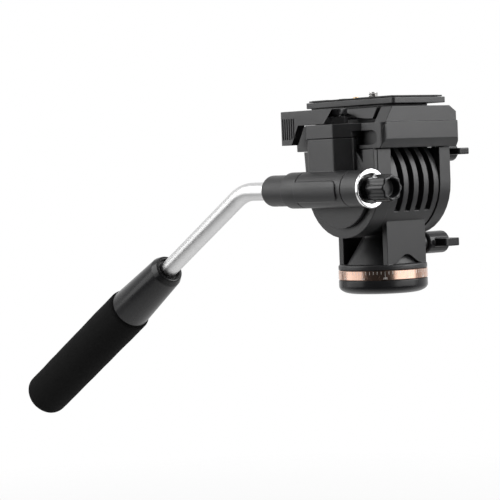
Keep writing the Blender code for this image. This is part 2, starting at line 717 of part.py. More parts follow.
def make_damper(pan_body, tilt_body):
    """The tilt damper in the drum's bore: bushes, case, cover, and the rotor on the axle."""
    axis_at = (0, 0, TILT_AXIS_Z)
    outer = DRUM_BORE_RADIUS - GAP
    inner = AXLE_RADIUS + GAP
    bush_inner_x = DRUM_HALF_WIDTH - TILT_BUSH_LENGTH
    for name, low, high in (
            ("tilt_bush_left", bush_inner_x, DRUM_HALF_WIDTH),
            ("tilt_bush_right", -DRUM_HALF_WIDTH, -bush_inner_x)):
        piece(washer(name, inner, outer, low, high, axis="X", at=axis_at), "brass", pan_body)
    case_end = bush_inner_x - GAP
    cover_inner = case_end - DAMPER_END_WALL
    room = outer - DAMPER_WALL
    case = turned("damper_case", [
        (outer, cover_inner - GAP), (outer, -case_end), (inner, -case_end),
        (inner, DAMPER_END_WALL - case_end), (room, DAMPER_END_WALL - case_end), (room, cover_inner - GAP)],
        ROUND_MEDIUM, "X", axis_at)
    piece(case, "black_plastic", pan_body)
    cover = washer("damper_cover", inner, outer, cover_inner, case_end, axis="X", at=axis_at)
    piece(cover, "black_plastic", pan_body)
    hub_end = cover_inner - GAP - GAP
    start = DAMPER_END_WALL - case_end + GAP
    pitch = (hub_end - start) / ROTOR_DISC_COUNT
    profile = [(ROTOR_HUB_RADIUS, hub_end)]
    for index in range(ROTOR_DISC_COUNT):
        top = hub_end - pitch * (index + 1) + (pitch + ROTOR_DISC_THICKNESS) / 2
        for radius, height in (
                (ROTOR_HUB_RADIUS, top), (room - GAP, top),
                (room - GAP, top - ROTOR_DISC_THICKNESS), (ROTOR_HUB_RADIUS, top - ROTOR_DISC_THICKNESS)):
            profile.append((radius, height))
    profile += [(ROTOR_HUB_RADIUS, start), (inner, start), (inner, hub_end)]
    piece(turned("damper_rotor", profile, ROUND_MEDIUM, "X", axis_at), "aluminium", tilt_body)


def lock_knob(name, hub_radius, hub_length, reach, root, tip, thickness, start_x, at, both_sides):
    """A winged locking knob turned about an X axis, whose hub starts at an x and runs away from the head."""
    end_x = start_x - hub_length
    middle = (start_x + end_x) / 2
    low_x = end_x + LOCK_HUB_CHAMFER
    hub = turned(name, [
        (0, start_x), (hub_radius - LOCK_HUB_CHAMFER, start_x), (hub_radius, start_x - LOCK_HUB_CHAMFER),
        (hub_radius, low_x), (hub_radius - LOCK_HUB_CHAMFER, end_x), (0, end_x)], ROUND_MEDIUM, "X", at)
    corner = LOCK_WING_CORNER
    wing_low = end_x + LOCK_WING_SET_BACK
    root_high = middle + root / 2
    wing_high = wing_low + tip
    outline = [(root_high, at[1], 0), (wing_high, at[1] + reach, corner), (wing_low, at[1] + reach, corner)]
    if both_sides:
        outline += [(wing_low, at[1] - reach, corner), (wing_high, at[1] - reach, corner)]
    else:
        tail = at[1] - hub_radius / 2
        outline += [(wing_low, tail, 0), (root_high, tail, 0)]
    outline = rounded(outline)
    wings = slab(name + "_wings", outline, at[2] - thickness / 2, at[2] + thickness / 2)
    join(hub, wings)
    bore = LOCK_BOLT_RADIUS + GAP
    seat_end = start_x - LOCK_BOLT_SEAT - GAP
    cut(hub, rod(name + "_bore", bore, seat_end, start_x + OVERRUN, ROUND_SMALL, "X", at))
    return hub


def make_pan_lock(body):
    """The pan lock: a two-winged knob and its bolt, which runs in the housing's boss."""
    start_x = -PAN_BOSS_REACH - GAP
    at = (0, 0, pan_lock_z)
    knob = lock_knob(
        "pan_lock_knob", PAN_HUB_RADIUS, PAN_HUB_LENGTH, PAN_WING_REACH, PAN_WING_ROOT, PAN_WING_TIP,
        PAN_WING_THICKNESS, start_x, at, True)
    piece(knob, "black_gloss", body)
    inner_end = -(SPINDLE_RADIUS + GAP) - LOCK_PAD_LENGTH - GAP
    bolt = rod("pan_lock_bolt", LOCK_BOLT_RADIUS, start_x - LOCK_BOLT_SEAT, inner_end, ROUND_SMALL, "X", at)
    piece(bolt, "steel", body)


def make_tilt_lock(body, tilt_body):
    """The tilt lock: a one-winged knob, its bolt through the right arm, and the pad that it presses."""
    start_x = -max(right_arm_outer, PLATFORM_HALF_WIDTH) - GAP
    at = (0, TILT_LOCK_Y, tilt_lock_z)
    knob = lock_knob(
        "tilt_lock_knob", TILT_HUB_RADIUS, TILT_HUB_LENGTH, TILT_WING_REACH, TILT_WING_ROOT, TILT_WING_TIP,
        TILT_WING_THICKNESS, start_x, at, False)
    piece(knob, "black_gloss", body)
    pad_end = -arm_inner - LOCK_PAD_LENGTH
    bolt = rod(
        "tilt_lock_bolt", LOCK_BOLT_RADIUS, start_x - LOCK_BOLT_SEAT, pad_end - GAP, ROUND_SMALL, "X", at)
    piece(bolt, "steel", body)
    pad = rod("tilt_lock_pad", LOCK_BOLT_RADIUS, pad_end, -arm_inner, ROUND_SMALL, "X", at)
    piece(pad, "nylon", tilt_body)


def arm_outline():
    """The side outline of a yoke arm: straight at the front, round below, and slanted at the rear."""
    rear = Vector((ARM_REAR_Y, arm_top - TILT_AXIS_Z))
    touch = math.atan2(rear.y, rear.x) + math.acos(ARM_RADIUS / rear.length)
    outline = [(ARM_RADIUS, arm_top)]
    outline += arc((0, TILT_AXIS_Z), ARM_RADIUS, 0, touch - 4 * QUARTER, ARM_ARC_STEPS)
    outline.append((ARM_REAR_Y, arm_top))
    return outline


def axle_seat(outer):
    """How far from the middle an axle screw's seat lies, in an arm with this outer face."""
    return outer - AXLE_HEAD_HEIGHT - 2 * GAP


def platform_screw_places():
    """Where the screws between the platform and the arms stand, seen from above."""
    return [(side * PLATFORM_SCREW_X, y)
            for side in (1, -1) for y in (PLATFORM_SCREW_REAR_Y, PLATFORM_SCREW_FRONT_Y)]


def mount_screw_places():
    """Where the screws between the left arm and the handle mount stand, seen from the side."""
    return [(MOUNT_SCREW_FRONT_Y, mount_screw_z), (MOUNT_SCREW_REAR_Y, mount_screw_z)]


def yoke_arm(name, side, outer):
    """One arm of the yoke, on the left (1) or the right (-1), with its holes for the axle and the screws."""
    low, high = sorted((side * arm_inner, side * outer))
    arm = slab(name, arm_outline(), low, high, "X")
    axis_at = (0, 0, TILT_AXIS_Z)
    sink_low, sink_high = sorted((side * axle_seat(outer), side * (outer + OVERRUN)))
    cut(
        arm,
        rod("axle_hole", AXLE_RADIUS + GAP, low - OVERRUN, high + OVERRUN, ROUND_MEDIUM, "X", axis_at),
        rod("axle_sink", AXLE_HEAD_RADIUS + GAP, sink_low, sink_high, ROUND_MEDIUM, "X", axis_at))
    for x, y in platform_screw_places():
        if x * side > 0:
            bottom = arm_top - PLATFORM_SCREW_GRIP - GAP
            hole = rod("arm_screw_hole", SCREW_RADIUS + GAP, bottom, arm_top + OVERRUN, ROUND_SMALL)
            hole.location = (x, y, 0)
            cut(arm, hole)
    return arm


def make_arms(body):
    """The two yoke arms, with the tilt axle between them, its screws and its cap."""
    left = yoke_arm("left_yoke_arm", 1, left_arm_outer)
    for y, z in mount_screw_places():
        at = (0, y, z)
        sink = arm_inner + SCREW_HEAD_HEIGHT + 2 * GAP
        cut(
            left,
            rod("mount_screw_sink", SCREW_HEAD_RADIUS + GAP, 0, sink, ROUND_SMALL, "X", at),
            rod("mount_screw_hole", SCREW_RADIUS + GAP, 0, left_arm_outer + OVERRUN, ROUND_SMALL, "X", at))
    piece(left, "black_casting", body)
    right = yoke_arm("right_yoke_arm", -1, right_arm_outer)
    lock_at = (0, TILT_LOCK_Y, tilt_lock_z)
    past = right_arm_outer + OVERRUN
    cut(right, rod("tilt_lock_bore", LOCK_BOLT_RADIUS + GAP, -past, 0, ROUND_SMALL, "X", lock_at))
    piece(right, "black_casting", body)
    axis_at = (0, 0, TILT_AXIS_Z)
    left_end = axle_seat(left_arm_outer)
    right_end = -axle_seat(right_arm_outer)
    axle = rod("tilt_axle", AXLE_RADIUS, right_end, left_end, ROUND_MEDIUM, "X", axis_at)
    depth = AXLE_SCREW_GRIP + GAP
    for name, end, towards in (("axle_screw_left", left_end, "-X"), ("axle_screw_right", right_end, "+X")):
        sense = 1 if end > 0 else -1
        low, high = sorted((end - sense * depth, end + sense * OVERRUN))
        cut(axle, rod("axle_thread", AXLE_SCREW_RADIUS + GAP, low, high, ROUND_SMALL, "X", axis_at))
        head_face = (end + sense * (AXLE_HEAD_HEIGHT + GAP), 0, TILT_AXIS_Z)
        length = AXLE_HEAD_HEIGHT + GAP + AXLE_SCREW_GRIP
        fastener = screw(
            name, AXLE_HEAD_RADIUS, AXLE_HEAD_HEIGHT, AXLE_SCREW_RADIUS, length, head_face, towards)
        piece(fastener, "steel", body)
    piece(axle, "steel", body)
    cap_inner = -right_arm_outer - GAP
    cap_outer = cap_inner - AXLE_CAP_THICKNESS
    cap = rod("right_axle_cap", AXLE_CAP_RADIUS, cap_outer, cap_inner, ROUND_MEDIUM, "X", axis_at)
    piece(cap, "black_plastic", body)


def platform_plan():
    """The platform seen from above: a rounded rectangle with the ear that carries the lever."""
    wide = PLATFORM_HALF_WIDTH
    return rounded([
        (-wide, PLATFORM_REAR_Y, PLATFORM_CORNER), (wide, PLATFORM_REAR_Y, PLATFORM_CORNER),
        (wide, EAR_REAR_Y, 0), (ear_x, EAR_REAR_Y, EAR_CORNER), (ear_x, EAR_FRONT_Y, EAR_CORNER),
        (ear_diagonal_x, EAR_DIAGONAL_Y, EAR_CORNER), (wide, EAR_END_Y, 0),
        (wide, PLATFORM_FRONT_Y, PLATFORM_CORNER), (-wide, PLATFORM_FRONT_Y, PLATFORM_CORNER)])


def make_platform(body):
    """The platform: the slab over the drum, the front stop, the fixed dovetail rail and the plate's bed."""
    platform = slab("platform", platform_plan(), platform_bottom, platform_top)
    foot = platform_top - OVERRUN
    stop = slab("front_stop", [
        (STOP_LEFT_FOOT_X + stop_slope * OVERRUN, foot), (STOP_LEFT_TOP_X, stop_top),
        (-STOP_RIGHT_TOP_X, stop_top), (-STOP_RIGHT_X, stop_top - STOP_RIGHT_CHAMFER),
        (-STOP_RIGHT_X, foot)], STOP_REAR_Y, stop_front_y, "Y")
    inner_foot = -(TONGUE_FOOT_HALF_WIDTH + GAP)
    rail = slab("fixed_rail", [
        (-STOP_RIGHT_X, foot), (-STOP_RIGHT_X, stop_top - STOP_RIGHT_CHAMFER),
        (-STOP_RIGHT_TOP_X, stop_top), (-(TONGUE_TOP_HALF_WIDTH + GAP), stop_top),
        (inner_foot, tongue_foot), (inner_foot, foot)], RAIL_REAR_Y, STOP_REAR_Y + OVERRUN, "Y")
    bed = block("bed", (-BED_HALF_WIDTH, RAIL_REAR_Y, foot), (BED_HALF_WIDTH, STOP_REAR_Y + OVERRUN, bed_top))
    join(platform, stop, rail, bed)
    edge = PLATFORM_FRONT_Y + OVERRUN
    under = platform_bottom - OVERRUN
    chamfer_low = PLATFORM_FRONT_Y - FRONT_CHAMFER_Y
    chamfer_high = platform_bottom + FRONT_CHAMFER_Z
    wide = PLATFORM_HALF_WIDTH + OVERRUN
    chamfer = slab("front_chamfer", [
        (chamfer_low, under), (chamfer_low, platform_bottom), (PLATFORM_FRONT_Y, chamfer_high),
        (edge, chamfer_high), (edge, under)], -wide, wide, "X")
    ear_room = block(
        "ear_room", (PLATFORM_HALF_WIDTH, EAR_REAR_Y - OVERRUN, under),
        (ear_x + OVERRUN, EAR_END_Y + OVERRUN, ear_bottom))
    saddle = rod(
        "saddle", saddle_radius, -arm_inner, arm_inner, ROUND_LARGE, "X", (0, 0, TILT_AXIS_Z))
    recess_round = (recess_high - recess_low) / 2 - WELD
    recess = slab("side_recess", rounded([
        (RECESS_REAR_Y, recess_low, 0), (RECESS_FRONT_Y, recess_low, recess_round),
        (RECESS_FRONT_Y, recess_high, recess_round), (RECESS_REAR_Y, recess_high, 0)]),
        PLATFORM_HALF_WIDTH - RECESS_DEPTH, ear_x, "X")
    cut(platform, chamfer, ear_room, saddle, recess)
    for x, y in platform_screw_places():
        at = (x, y, 0)
        sink = platform_top - SCREW_HEAD_HEIGHT - 2 * GAP
        above = stop_top + OVERRUN
        cut(
            platform,
            rod("platform_screw_sink", SCREW_HEAD_RADIUS + GAP, sink, above, ROUND_SMALL, "Z", at),
            rod("platform_screw_hole", SCREW_RADIUS + GAP, under, sink + OVERRUN, ROUND_SMALL, "Z", at))
    pin_bottom = platform_top - PIVOT_PIN_DEPTH - GAP
    at = (LEVER_PIVOT_X, LEVER_PIVOT_Y, 0)
    cut(platform, rod("pivot_hole", PIVOT_PIN_RADIUS + GAP, pin_bottom, bed_top, ROUND_SMALL, "Z", at))
    piece(platform, "black_casting", body)


def make_platform_screws(body):
    """The four screws that hold the platform on the arms."""
    top = platform_top - GAP
    length = top - arm_top + PLATFORM_SCREW_GRIP
    for index, (x, y) in enumerate(platform_screw_places()):
        name = f"platform_screw_{index + 1}"
        fastener = screw(name, SCREW_HEAD_RADIUS, SCREW_HEAD_HEIGHT, SCREW_RADIUS, length, (x, y, top), "-Z")
        piece(fastener, "steel", body)


def make_camera_plate(body):
    """The camera plate with its dovetail tongue, and the rubber pad on it."""
    wide = PLATE_HALF_WIDTH
    plate = slab("quick_release_plate", rounded([
        (-wide, PLATE_REAR_Y, PLATE_CORNER), (wide, PLATE_REAR_Y, PLATE_CORNER),
        (wide, PLATE_FRONT_Y, PLATE_CORNER), (-wide, PLATE_FRONT_Y, PLATE_CORNER)]), plate_bottom, plate_top)
    neck = TONGUE_TOP_HALF_WIDTH
    foot = TONGUE_FOOT_HALF_WIDTH
    top = plate_bottom + OVERRUN
    tongue = slab("tongue", [
        (foot, tongue_foot), (neck, stop_top), (neck, top), (-neck, top), (-neck, stop_top),
        (-foot, tongue_foot)], TONGUE_REAR_Y, TONGUE_FRONT_Y, "Y")
    join(plate, tongue)
    screw_at = (0, CAMERA_SCREW_Y, 0)
    pin_at = (0, VIDEO_PIN_Y, 0)
    under = tongue_foot - OVERRUN
    above = pad_top + OVERRUN
    shaft_hole = rod("shaft_hole", CAMERA_SCREW_RADIUS + GAP, under, above, ROUND_MEDIUM, "Z", screw_at)
    head_room = rod("head_room", CAMERA_SCREW_HEAD_RADIUS + GAP, under, stop_top, ROUND_MEDIUM, "Z", screw_at)
    pin_hole = rod("pin_hole", VIDEO_PIN_RADIUS + GAP, under, above, ROUND_SMALL, "Z", pin_at)
    well_top = plate_top - PIN_WELL_ROOF
    well = rod("pin_well", VIDEO_PIN_FLANGE_RADIUS + GAP, under, well_top, ROUND_SMALL, "Z", pin_at)
    cut(plate, shaft_hole, head_room, pin_hole, well)
    piece(plate, "black_casting", body)
    wide -= PAD_INSET
    rear = PLATE_REAR_Y + PAD_INSET
    front = PLATE_FRONT_Y - PAD_INSET
    corner = PLATE_CORNER - PAD_INSET / 2
    pad = slab("plate_pad", rounded([
        (-wide, rear, corner), (wide, rear, corner), (wide, front, corner), (-wide, front, corner)]),
        pad_bottom, pad_top)
    cut(pad, shaft_hole, pin_hole)
    piece(pad, "black_rubber", body)


def make_camera_screw(body):
    """The 1/4 inch camera screw, with a coin slot in its head."""
    head_top = stop_top - GAP
    head_bottom = head_top - CAMERA_SCREW_HEAD_HEIGHT
    tip = pad_top + CAMERA_SCREW_STAND
    chamfer = CAMERA_SCREW_RADIUS / 4
    bolt = turned("camera_screw", [
        (0, tip), (CAMERA_SCREW_RADIUS - chamfer, tip), (CAMERA_SCREW_RADIUS, tip - chamfer),
        (CAMERA_SCREW_RADIUS, head_top), (CAMERA_SCREW_HEAD_RADIUS, head_top),
        (CAMERA_SCREW_HEAD_RADIUS, head_bottom), (0, head_bottom)], ROUND_MEDIUM, "Z", (0, CAMERA_SCREW_Y, 0))
    reach = CAMERA_SCREW_HEAD_RADIUS + OVERRUN
    half_slot = CAMERA_SCREW_HEAD_HEIGHT / 4
    low = (-reach, CAMERA_SCREW_Y - half_slot, head_bottom - OVERRUN)
    high = (reach, CAMERA_SCREW_Y + half_slot, (head_bottom + head_top) / 2)
    cut(bolt, block("coin_slot", low, high))
    piece(bolt, "steel", body)


def make_video_pin(pin_body, tilt_body):
    """The sprung video pin of the camera plate, its spring and the plug that holds the spring in."""
    at = (0, VIDEO_PIN_Y, 0)
    tip = pad_top + VIDEO_PIN_STAND
    flange_top_z = plate_top - PIN_WELL_ROOF - GAP
    flange_bottom_z = flange_top_z - VIDEO_PIN_FLANGE_HEIGHT
    chamfer = VIDEO_PIN_RADIUS / 3
    pin = turned("video_pin", [
        (0, tip), (VIDEO_PIN_RADIUS - chamfer, tip), (VIDEO_PIN_RADIUS, tip - chamfer),
        (VIDEO_PIN_RADIUS, flange_top_z), (VIDEO_PIN_FLANGE_RADIUS, flange_top_z),
        (VIDEO_PIN_FLANGE_RADIUS, flange_bottom_z), (0, flange_bottom_z)], ROUND_SMALL, "Z", at)
    piece(pin, "brass", pin_body)
    high = flange_bottom_z - GAP - PIN_SPRING_WIRE
    low = high - PIN_SPRING_LENGTH + 2 * PIN_SPRING_WIRE
    coil_radius = VIDEO_PIN_FLANGE_RADIUS - 2 * PIN_SPRING_WIRE
    steps = PIN_SPRING_TURNS * PIN_SPRING_TURN_STEPS
    curve = bpy.data.curves.new("video_pin_spring", 'CURVE')
    curve.dimensions = '3D'
    curve.bevel_depth = PIN_SPRING_WIRE
    curve.bevel_resolution = 1
    curve.use_fill_caps = True
    spline = curve.splines.new('POLY')
    spline.points.add(steps)
    for step, point in enumerate(spline.points):
        turn = 4 * QUARTER * PIN_SPRING_TURNS * step / steps
        height = low + (high - low) * step / steps
        point.co = (coil_radius * math.cos(turn), coil_radius * math.sin(turn), height, 1)
    spring = curve_solid("video_pin_spring", curve, at)
    piece(spring, "steel", tilt_body)
    plug_top = low - PIN_SPRING_WIRE - GAP
    plug_bottom = plug_top - PIN_PLUG_LENGTH
    plug = rod("video_pin_plug", VIDEO_PIN_FLANGE_RADIUS, plug_bottom, plug_top, ROUND_SMALL, "Z", at)
    piece(plug, "steel", tilt_body)


def curve_solid(name, curve, at=(0, 0, 0)):
    """A bevelled curve made into a closed mesh."""
    drawn = new_object(name + "_curve", curve)
    mesh = evaluated_mesh(drawn)
    bpy.data.objects.remove(drawn, do_unlink=True)
    weld(mesh)
    obj = new_object(name, mesh)
    obj.location = at
    return obj


def make_plate_jaw(body):
    """The sliding jaw that clamps the plate, arched at its rear over the lever's hub."""
    inner_foot = TONGUE_FOOT_HALF_WIDTH + GAP
    jaw = slab("plate_jaw", [
        (TONGUE_TOP_HALF_WIDTH + GAP, stop_top), (STOP_LEFT_TOP_X, stop_top),
        (JAW_FACE_LOW_X, jaw_face_low), (JAW_FOOT_X, jaw_face_low), (JAW_FOOT_X, lever_bottom),
        (inner_foot, lever_bottom), (inner_foot, tongue_foot)], JAW_REAR_Y, JAW_FRONT_Y, "Y")
    under = lever_bottom - OVERRUN
    length = JAW_FRONT_Y - JAW_REAR_Y
    rise = jaw_arch_top - jaw_face_low
    arch = [(JAW_FRONT_Y + OVERRUN, under), (JAW_FRONT_Y + OVERRUN, jaw_face_low)]
    for along, up in zip(JAW_ARCH_REACH_SHARES, JAW_ARCH_RISE_SHARES):
        arch.append((JAW_FRONT_Y - along * length, jaw_face_low + up * rise))
    arch += [(JAW_REAR_Y - OVERRUN, jaw_arch_top), (JAW_REAR_Y - OVERRUN, under)]
    hub_low = (0, JAW_REAR_Y - OVERRUN, under)
    hub_high = (JAW_FOOT_X + WELD, JAW_FOOT_REAR_Y, jaw_arch_top)
    arch_room = slab("jaw_arch", arch, JAW_FOOT_X, JAW_FACE_LOW_X + OVERRUN, "X")
    cut(jaw, arch_room, block("hub_room", hub_low, hub_high))
    piece(jaw, "black_casting", body)


def make_plate_lever(body):
    """The clamping lever: a hub, an arm along the ear's edge and a grooved thumb pad; and its pivot cap."""
    side = slab("plate_lever", [
        (PAD_REAR_Y, pad_low), (PAD_LOW_FRONT_Y, pad_low), (PAD_HIGH_FRONT_Y, lever_bottom),
        (LEVER_FRONT_Y - LEVER_FRONT_SLANT, lever_bottom), (LEVER_FRONT_Y, stop_top),
        (PAD_REAR_Y, stop_top)], ear_x - LEVER_ARM_THICKNESS, ear_x, "X")
    pivot = (LEVER_PIVOT_X, LEVER_PIVOT_Y)
    web = arc(pivot, LEVER_HUB_RADIUS, QUARTER, 3 * QUARTER, 12)
    web += [(ear_x - LEVER_ARM_THICKNESS / 2, EAR_REAR_Y), (ear_x - LEVER_ARM_THICKNESS / 2, LEVER_PIVOT_Y)]
    join(side, slab("lever_web", web, lever_bottom, lever_hub_top))
    at = (LEVER_PIVOT_X, LEVER_PIVOT_Y, 0)
    above = stop_top + OVERRUN
    cut(
        side,
        rod("lever_bore", PIVOT_PIN_RADIUS + GAP, platform_bottom, above, ROUND_SMALL, "Z", at),
        rod("cap_room", CAP_RADIUS + GAP, lever_hub_top, above, ROUND_MEDIUM, "Z", at))
    for index in range(PAD_GROOVE_COUNT):
        low_y = PAD_GROOVE_FIRST_Y + index * PAD_GROOVE_PITCH
        low = (ear_x - PAD_GROOVE_DEPTH, low_y, groove_low)
        cut(side, block("pad_groove", low, (ear_x + OVERRUN, low_y + PAD_GROOVE_WIDTH, groove_high)))
    piece(side, "black_casting", body)
    head_bottom = cap_top - CAP_THICKNESS
    collar_end = lever_hub_top + GAP
    pin_end = platform_top - PIVOT_PIN_DEPTH
    cap = turned("pivot_cap", [
        (0, cap_top), (CAP_RADIUS - CAP_ROUND, cap_top), (CAP_RADIUS, cap_top - CAP_ROUND),
        (CAP_RADIUS, head_bottom), (PIVOT_COLLAR_RADIUS, head_bottom), (PIVOT_COLLAR_RADIUS, collar_end),
        (PIVOT_PIN_RADIUS, collar_end), (PIVOT_PIN_RADIUS, pin_end), (0, pin_end)], ROUND_MEDIUM, "Z", at)
    piece(cap, "black_gloss", body)


def make_handle_mount(body):
    """The casting on the left arm: disc, front panel, column, and the barrel for the handle's stud."""
    barrel_at = (barrel_x, 0, barrel_z)
    mount = slab("handle_mount", rounded([
        (mount_inner, COLUMN_REAR_Y, 0), (ear_x, COLUMN_REAR_Y, COLUMN_REAR_ROUND),
        (ear_x, EAR_FRONT_Y, EAR_CORNER), (ear_diagonal_x, EAR_DIAGONAL_Y, EAR_CORNER),
        (mount_inner, EAR_DIAGONAL_Y, 0)]), barrel_z, ear_bottom - GAP)
    disc = rod(
        "mount_disc", MOUNT_DISC_RADIUS, mount_inner, mount_disc_outer, ROUND_LARGE, "X", (0, 0, TILT_AXIS_Z))
    panel_low = (mount_inner, PANEL_REAR_Y, TILT_AXIS_Z)
    panel = block("front_panel", panel_low, (mount_disc_outer, ARM_RADIUS, arm_top))
    barrel = rod("barrel", BARREL_RADIUS, BARREL_REAR_Y, BARREL_FRONT_Y, ROUND_LARGE, "Y", barrel_at)
    shield_radius = BARREL_RADIUS + SHIELD_PROUD
    shield = rod("shield", shield_radius, BARREL_REAR_Y, BARREL_FRONT_Y, ROUND_LARGE, "Y", barrel_at)
    shield_outline = rounded([
        (BARREL_REAR_Y, shield_low, 0), (SHIELD_FRONT_Y, shield_low, SHIELD_ROUND),
        (SHIELD_FRONT_Y, shield_high, SHIELD_ROUND), (BARREL_REAR_Y, shield_high, 0)])
    outer = barrel_x + shield_radius + OVERRUN
    combine(shield, slab("shield_outline", shield_outline, shield_near_x, outer, "X"), 'INTERSECT')
    join(mount, disc, panel, barrel, shield)
    past = ARM_RADIUS + OVERRUN
    cut(
        mount,
        block("arm_side", (0, -past, 0), (mount_inner, past, ear_bottom)),
        block("platform_side", (0, -past, arm_top), (PLATFORM_HALF_WIDTH + GAP, past, ear_bottom)),
        rod(
            "stud_bore", STUD_RADIUS + GAP, BARREL_REAR_Y - OVERRUN, BARREL_FRONT_Y + OVERRUN, ROUND_SMALL,
            "Y", barrel_at),
        rod(
            "socket_room", SOCKET_RADIUS + GAP, -MOUNT_DISC_RADIUS - OVERRUN, BARREL_REAR_Y, ROUND_LARGE,
            "Y", barrel_at))
    length = LEFT_ARM_THICKNESS + MOUNT_SCREW_GRIP
    for index, (y, z) in enumerate(mount_screw_places()):
        at = (arm_inner + GAP, y, z)
        cut(mount, rod("mount_thread", SCREW_RADIUS + GAP, 0, length + GAP, ROUND_SMALL, "X", at))
        name = f"mount_screw_{index + 1}"
        fastener = screw(name, SCREW_HEAD_RADIUS, SCREW_HEAD_HEIGHT, SCREW_RADIUS, length, at, "+X")
        piece(fastener, "steel", body)
    piece(mount, "black_casting", body)


def make_front_sleeve(body):
    """The sleeve in front of the barrel, flattened against the mount's panel, and the bright ring on it."""
    at = (barrel_x, 0, barrel_z)
    sleeve = washer(
        "front_sleeve", STUD_RADIUS + GAP, BARREL_RADIUS, BARREL_FRONT_Y + GAP, sleeve_front_y,
        ROUND_LARGE, "Y", at)
    flat = mount_disc_outer + GAP
    low_z = barrel_z - BARREL_RADIUS - OVERRUN
    high_z = barrel_z + BARREL_RADIUS + OVERRUN
    cut(sleeve, block("sleeve_flat", (0, 0, low_z), (flat, sleeve_front_y + OVERRUN, high_z)))
    piece(sleeve, "black_casting", body)
    rear = sleeve_front_y + GAP
    front = rear + ROSETTE_THICKNESS
    edge = ROSETTE_THICKNESS / 4
    ring = turned("rosette_ring", [
        (ROSETTE_RADIUS - edge, front), (ROSETTE_RADIUS, front - edge), (ROSETTE_RADIUS, rear + edge),
        (ROSETTE_RADIUS - edge, rear), (ROSETTE_INNER_RADIUS, rear), (ROSETTE_INNER_RADIUS, front)],
        ROUND_LARGE, "Y", at)
    piece(ring, "chrome", body)


def make_handle_knob(body):
    """The lobed knob that draws the handle tight, with its threaded insert."""
    at = (barrel_x, 0, barrel_z)
    outline = []
    for index in range(KNOB_POINTS):
        turn = 4 * QUARTER * index / KNOB_POINTS
        radius = KNOB_RADIUS - KNOB_LOBE_DEPTH * (1 - math.cos(KNOB_LOBE_COUNT * turn)) / 2
        outline.append((barrel_x + radius * math.cos(turn), barrel_z + radius * math.sin(turn)))
    knob = slab("handle_knob", outline, knob_start_y, knob_end_y, "Y")
    neck_start = sleeve_front_y + GAP
    neck = rod("knob_neck", KNOB_NECK_RADIUS, neck_start, knob_start_y + OVERRUN, ROUND_MEDIUM, "Y", at)
    join(knob, neck)
    insert_end = neck_start + KNOB_BORE_DEPTH
    seat_end = insert_end + GAP
    cut(
        knob,
        rod("insert_seat", INSERT_RADIUS + GAP, neck_start - OVERRUN, seat_end, ROUND_MEDIUM, "Y", at),
        rod("stud_room", STUD_RADIUS + GAP, neck_start, stud_front_y + GAP, ROUND_SMALL, "Y", at),
        rod("knob_dish", KNOB_DISH_RADIUS, knob_end_y - KNOB_DISH_DEPTH, knob_end_y + OVERRUN, ROUND_MEDIUM,
            "Y", at))
    piece(knob, "black_gloss", body)
    insert = washer("knob_insert", STUD_RADIUS + GAP, INSERT_RADIUS, neck_start, insert_end, axis="Y", at=at)
    piece(insert, "brass", body)


def make_handle_socket(body):
    """The socket that the handle tube is clamped in, its grub screw, and the stud through the barrel."""
    at = (barrel_x, 0, barrel_z)
    front = BARREL_REAR_Y - GAP
    tube_bore = TUBE_RADIUS + GAP
    seat = TUBE_START_Y + GAP
    profile = [(SOCKET_RADIUS, front), (SOCKET_RADIUS, SOCKET_STEP_Y), (SOCKET_NECK_RADIUS, SOCKET_STEP_Y)]
    centre = (SOCKET_NECK_RADIUS - SOCKET_ROUND, SOCKET_REAR_Y + SOCKET_ROUND)
    profile += arc(centre, SOCKET_ROUND, 0, -QUARTER, CORNER_STEPS)
    stud_bore = STUD_RADIUS + GAP
    profile += [(tube_bore, SOCKET_REAR_Y), (tube_bore, seat), (stud_bore, seat), (stud_bore, front)]
    socket = turned("handle_socket", profile, ROUND_LARGE, "Y", at)
    grub_low = barrel_z - SOCKET_NECK_RADIUS
    grub_at = (barrel_x, CLAMP_SCREW_Y, 0)
    cut(socket, rod("grub_hole", SCREW_RADIUS + GAP, grub_low - OVERRUN, barrel_z, ROUND_SMALL, "Z", grub_at))
    piece(socket, "black_casting", body)
    grub_high = barrel_z - TUBE_RADIUS - GAP
    grub = rod("clamp_screw", SCREW_RADIUS, grub_low + GAP, grub_high, ROUND_SMALL, "Z", grub_at)
    piece(grub, "steel", body)
    head_radius = TUBE_RADIUS - TUBE_WALL - GAP
    head_face = seat - GAP - STUD_HEAD_LENGTH
    stud = screw(
        "handle_stud", head_radius, STUD_HEAD_LENGTH, STUD_RADIUS, stud_front_y - head_face,
        (barrel_x, head_face, barrel_z), "+Y")
    piece(stud, "steel", body)


def tube_path(overrun):
    """The middle line of the handle tube: straight, round the elbow, and down into the grip."""
    lead = ELBOW_RADIUS * math.tan(DROOP / 2)
    points = [(barrel_x, TUBE_START_Y + overrun, barrel_z)]
    centre = (ELBOW_Y + lead, barrel_z - ELBOW_RADIUS)
    for across, up in arc(centre, ELBOW_RADIUS, QUARTER, QUARTER + DROOP, ELBOW_STEPS):
        points.append((barrel_x, across, up))
    reach = TUBE_END + overrun
    points.append((barrel_x, ELBOW_Y - reach * math.cos(DROOP), barrel_z - reach * math.sin(DROOP)))
    return points


def tube_solid(name, radius, overrun):
    """A round bar along the handle tube's middle line."""
    curve = bpy.data.curves.new(name, 'CURVE')
    curve.dimensions = '3D'
    curve.bevel_depth = radius
    curve.bevel_resolution = TUBE_ROUNDING
    curve.use_fill_caps = True
    path = tube_path(overrun)
    spline = curve.splines.new('POLY')
    spline.points.add(len(path) - 1)
    for point, place in zip(spline.points, path):
        point.co = (*place, 1)
    return curve_solid(name, curve)


def make_handle_tube(body):
    """The bent aluminium tube."""
    tube = tube_solid("handle_tube", TUBE_RADIUS, 0)
    cut(tube, tube_solid("tube_bore", TUBE_RADIUS - TUBE_WALL, OVERRUN))
    piece(tube, "aluminium", body)


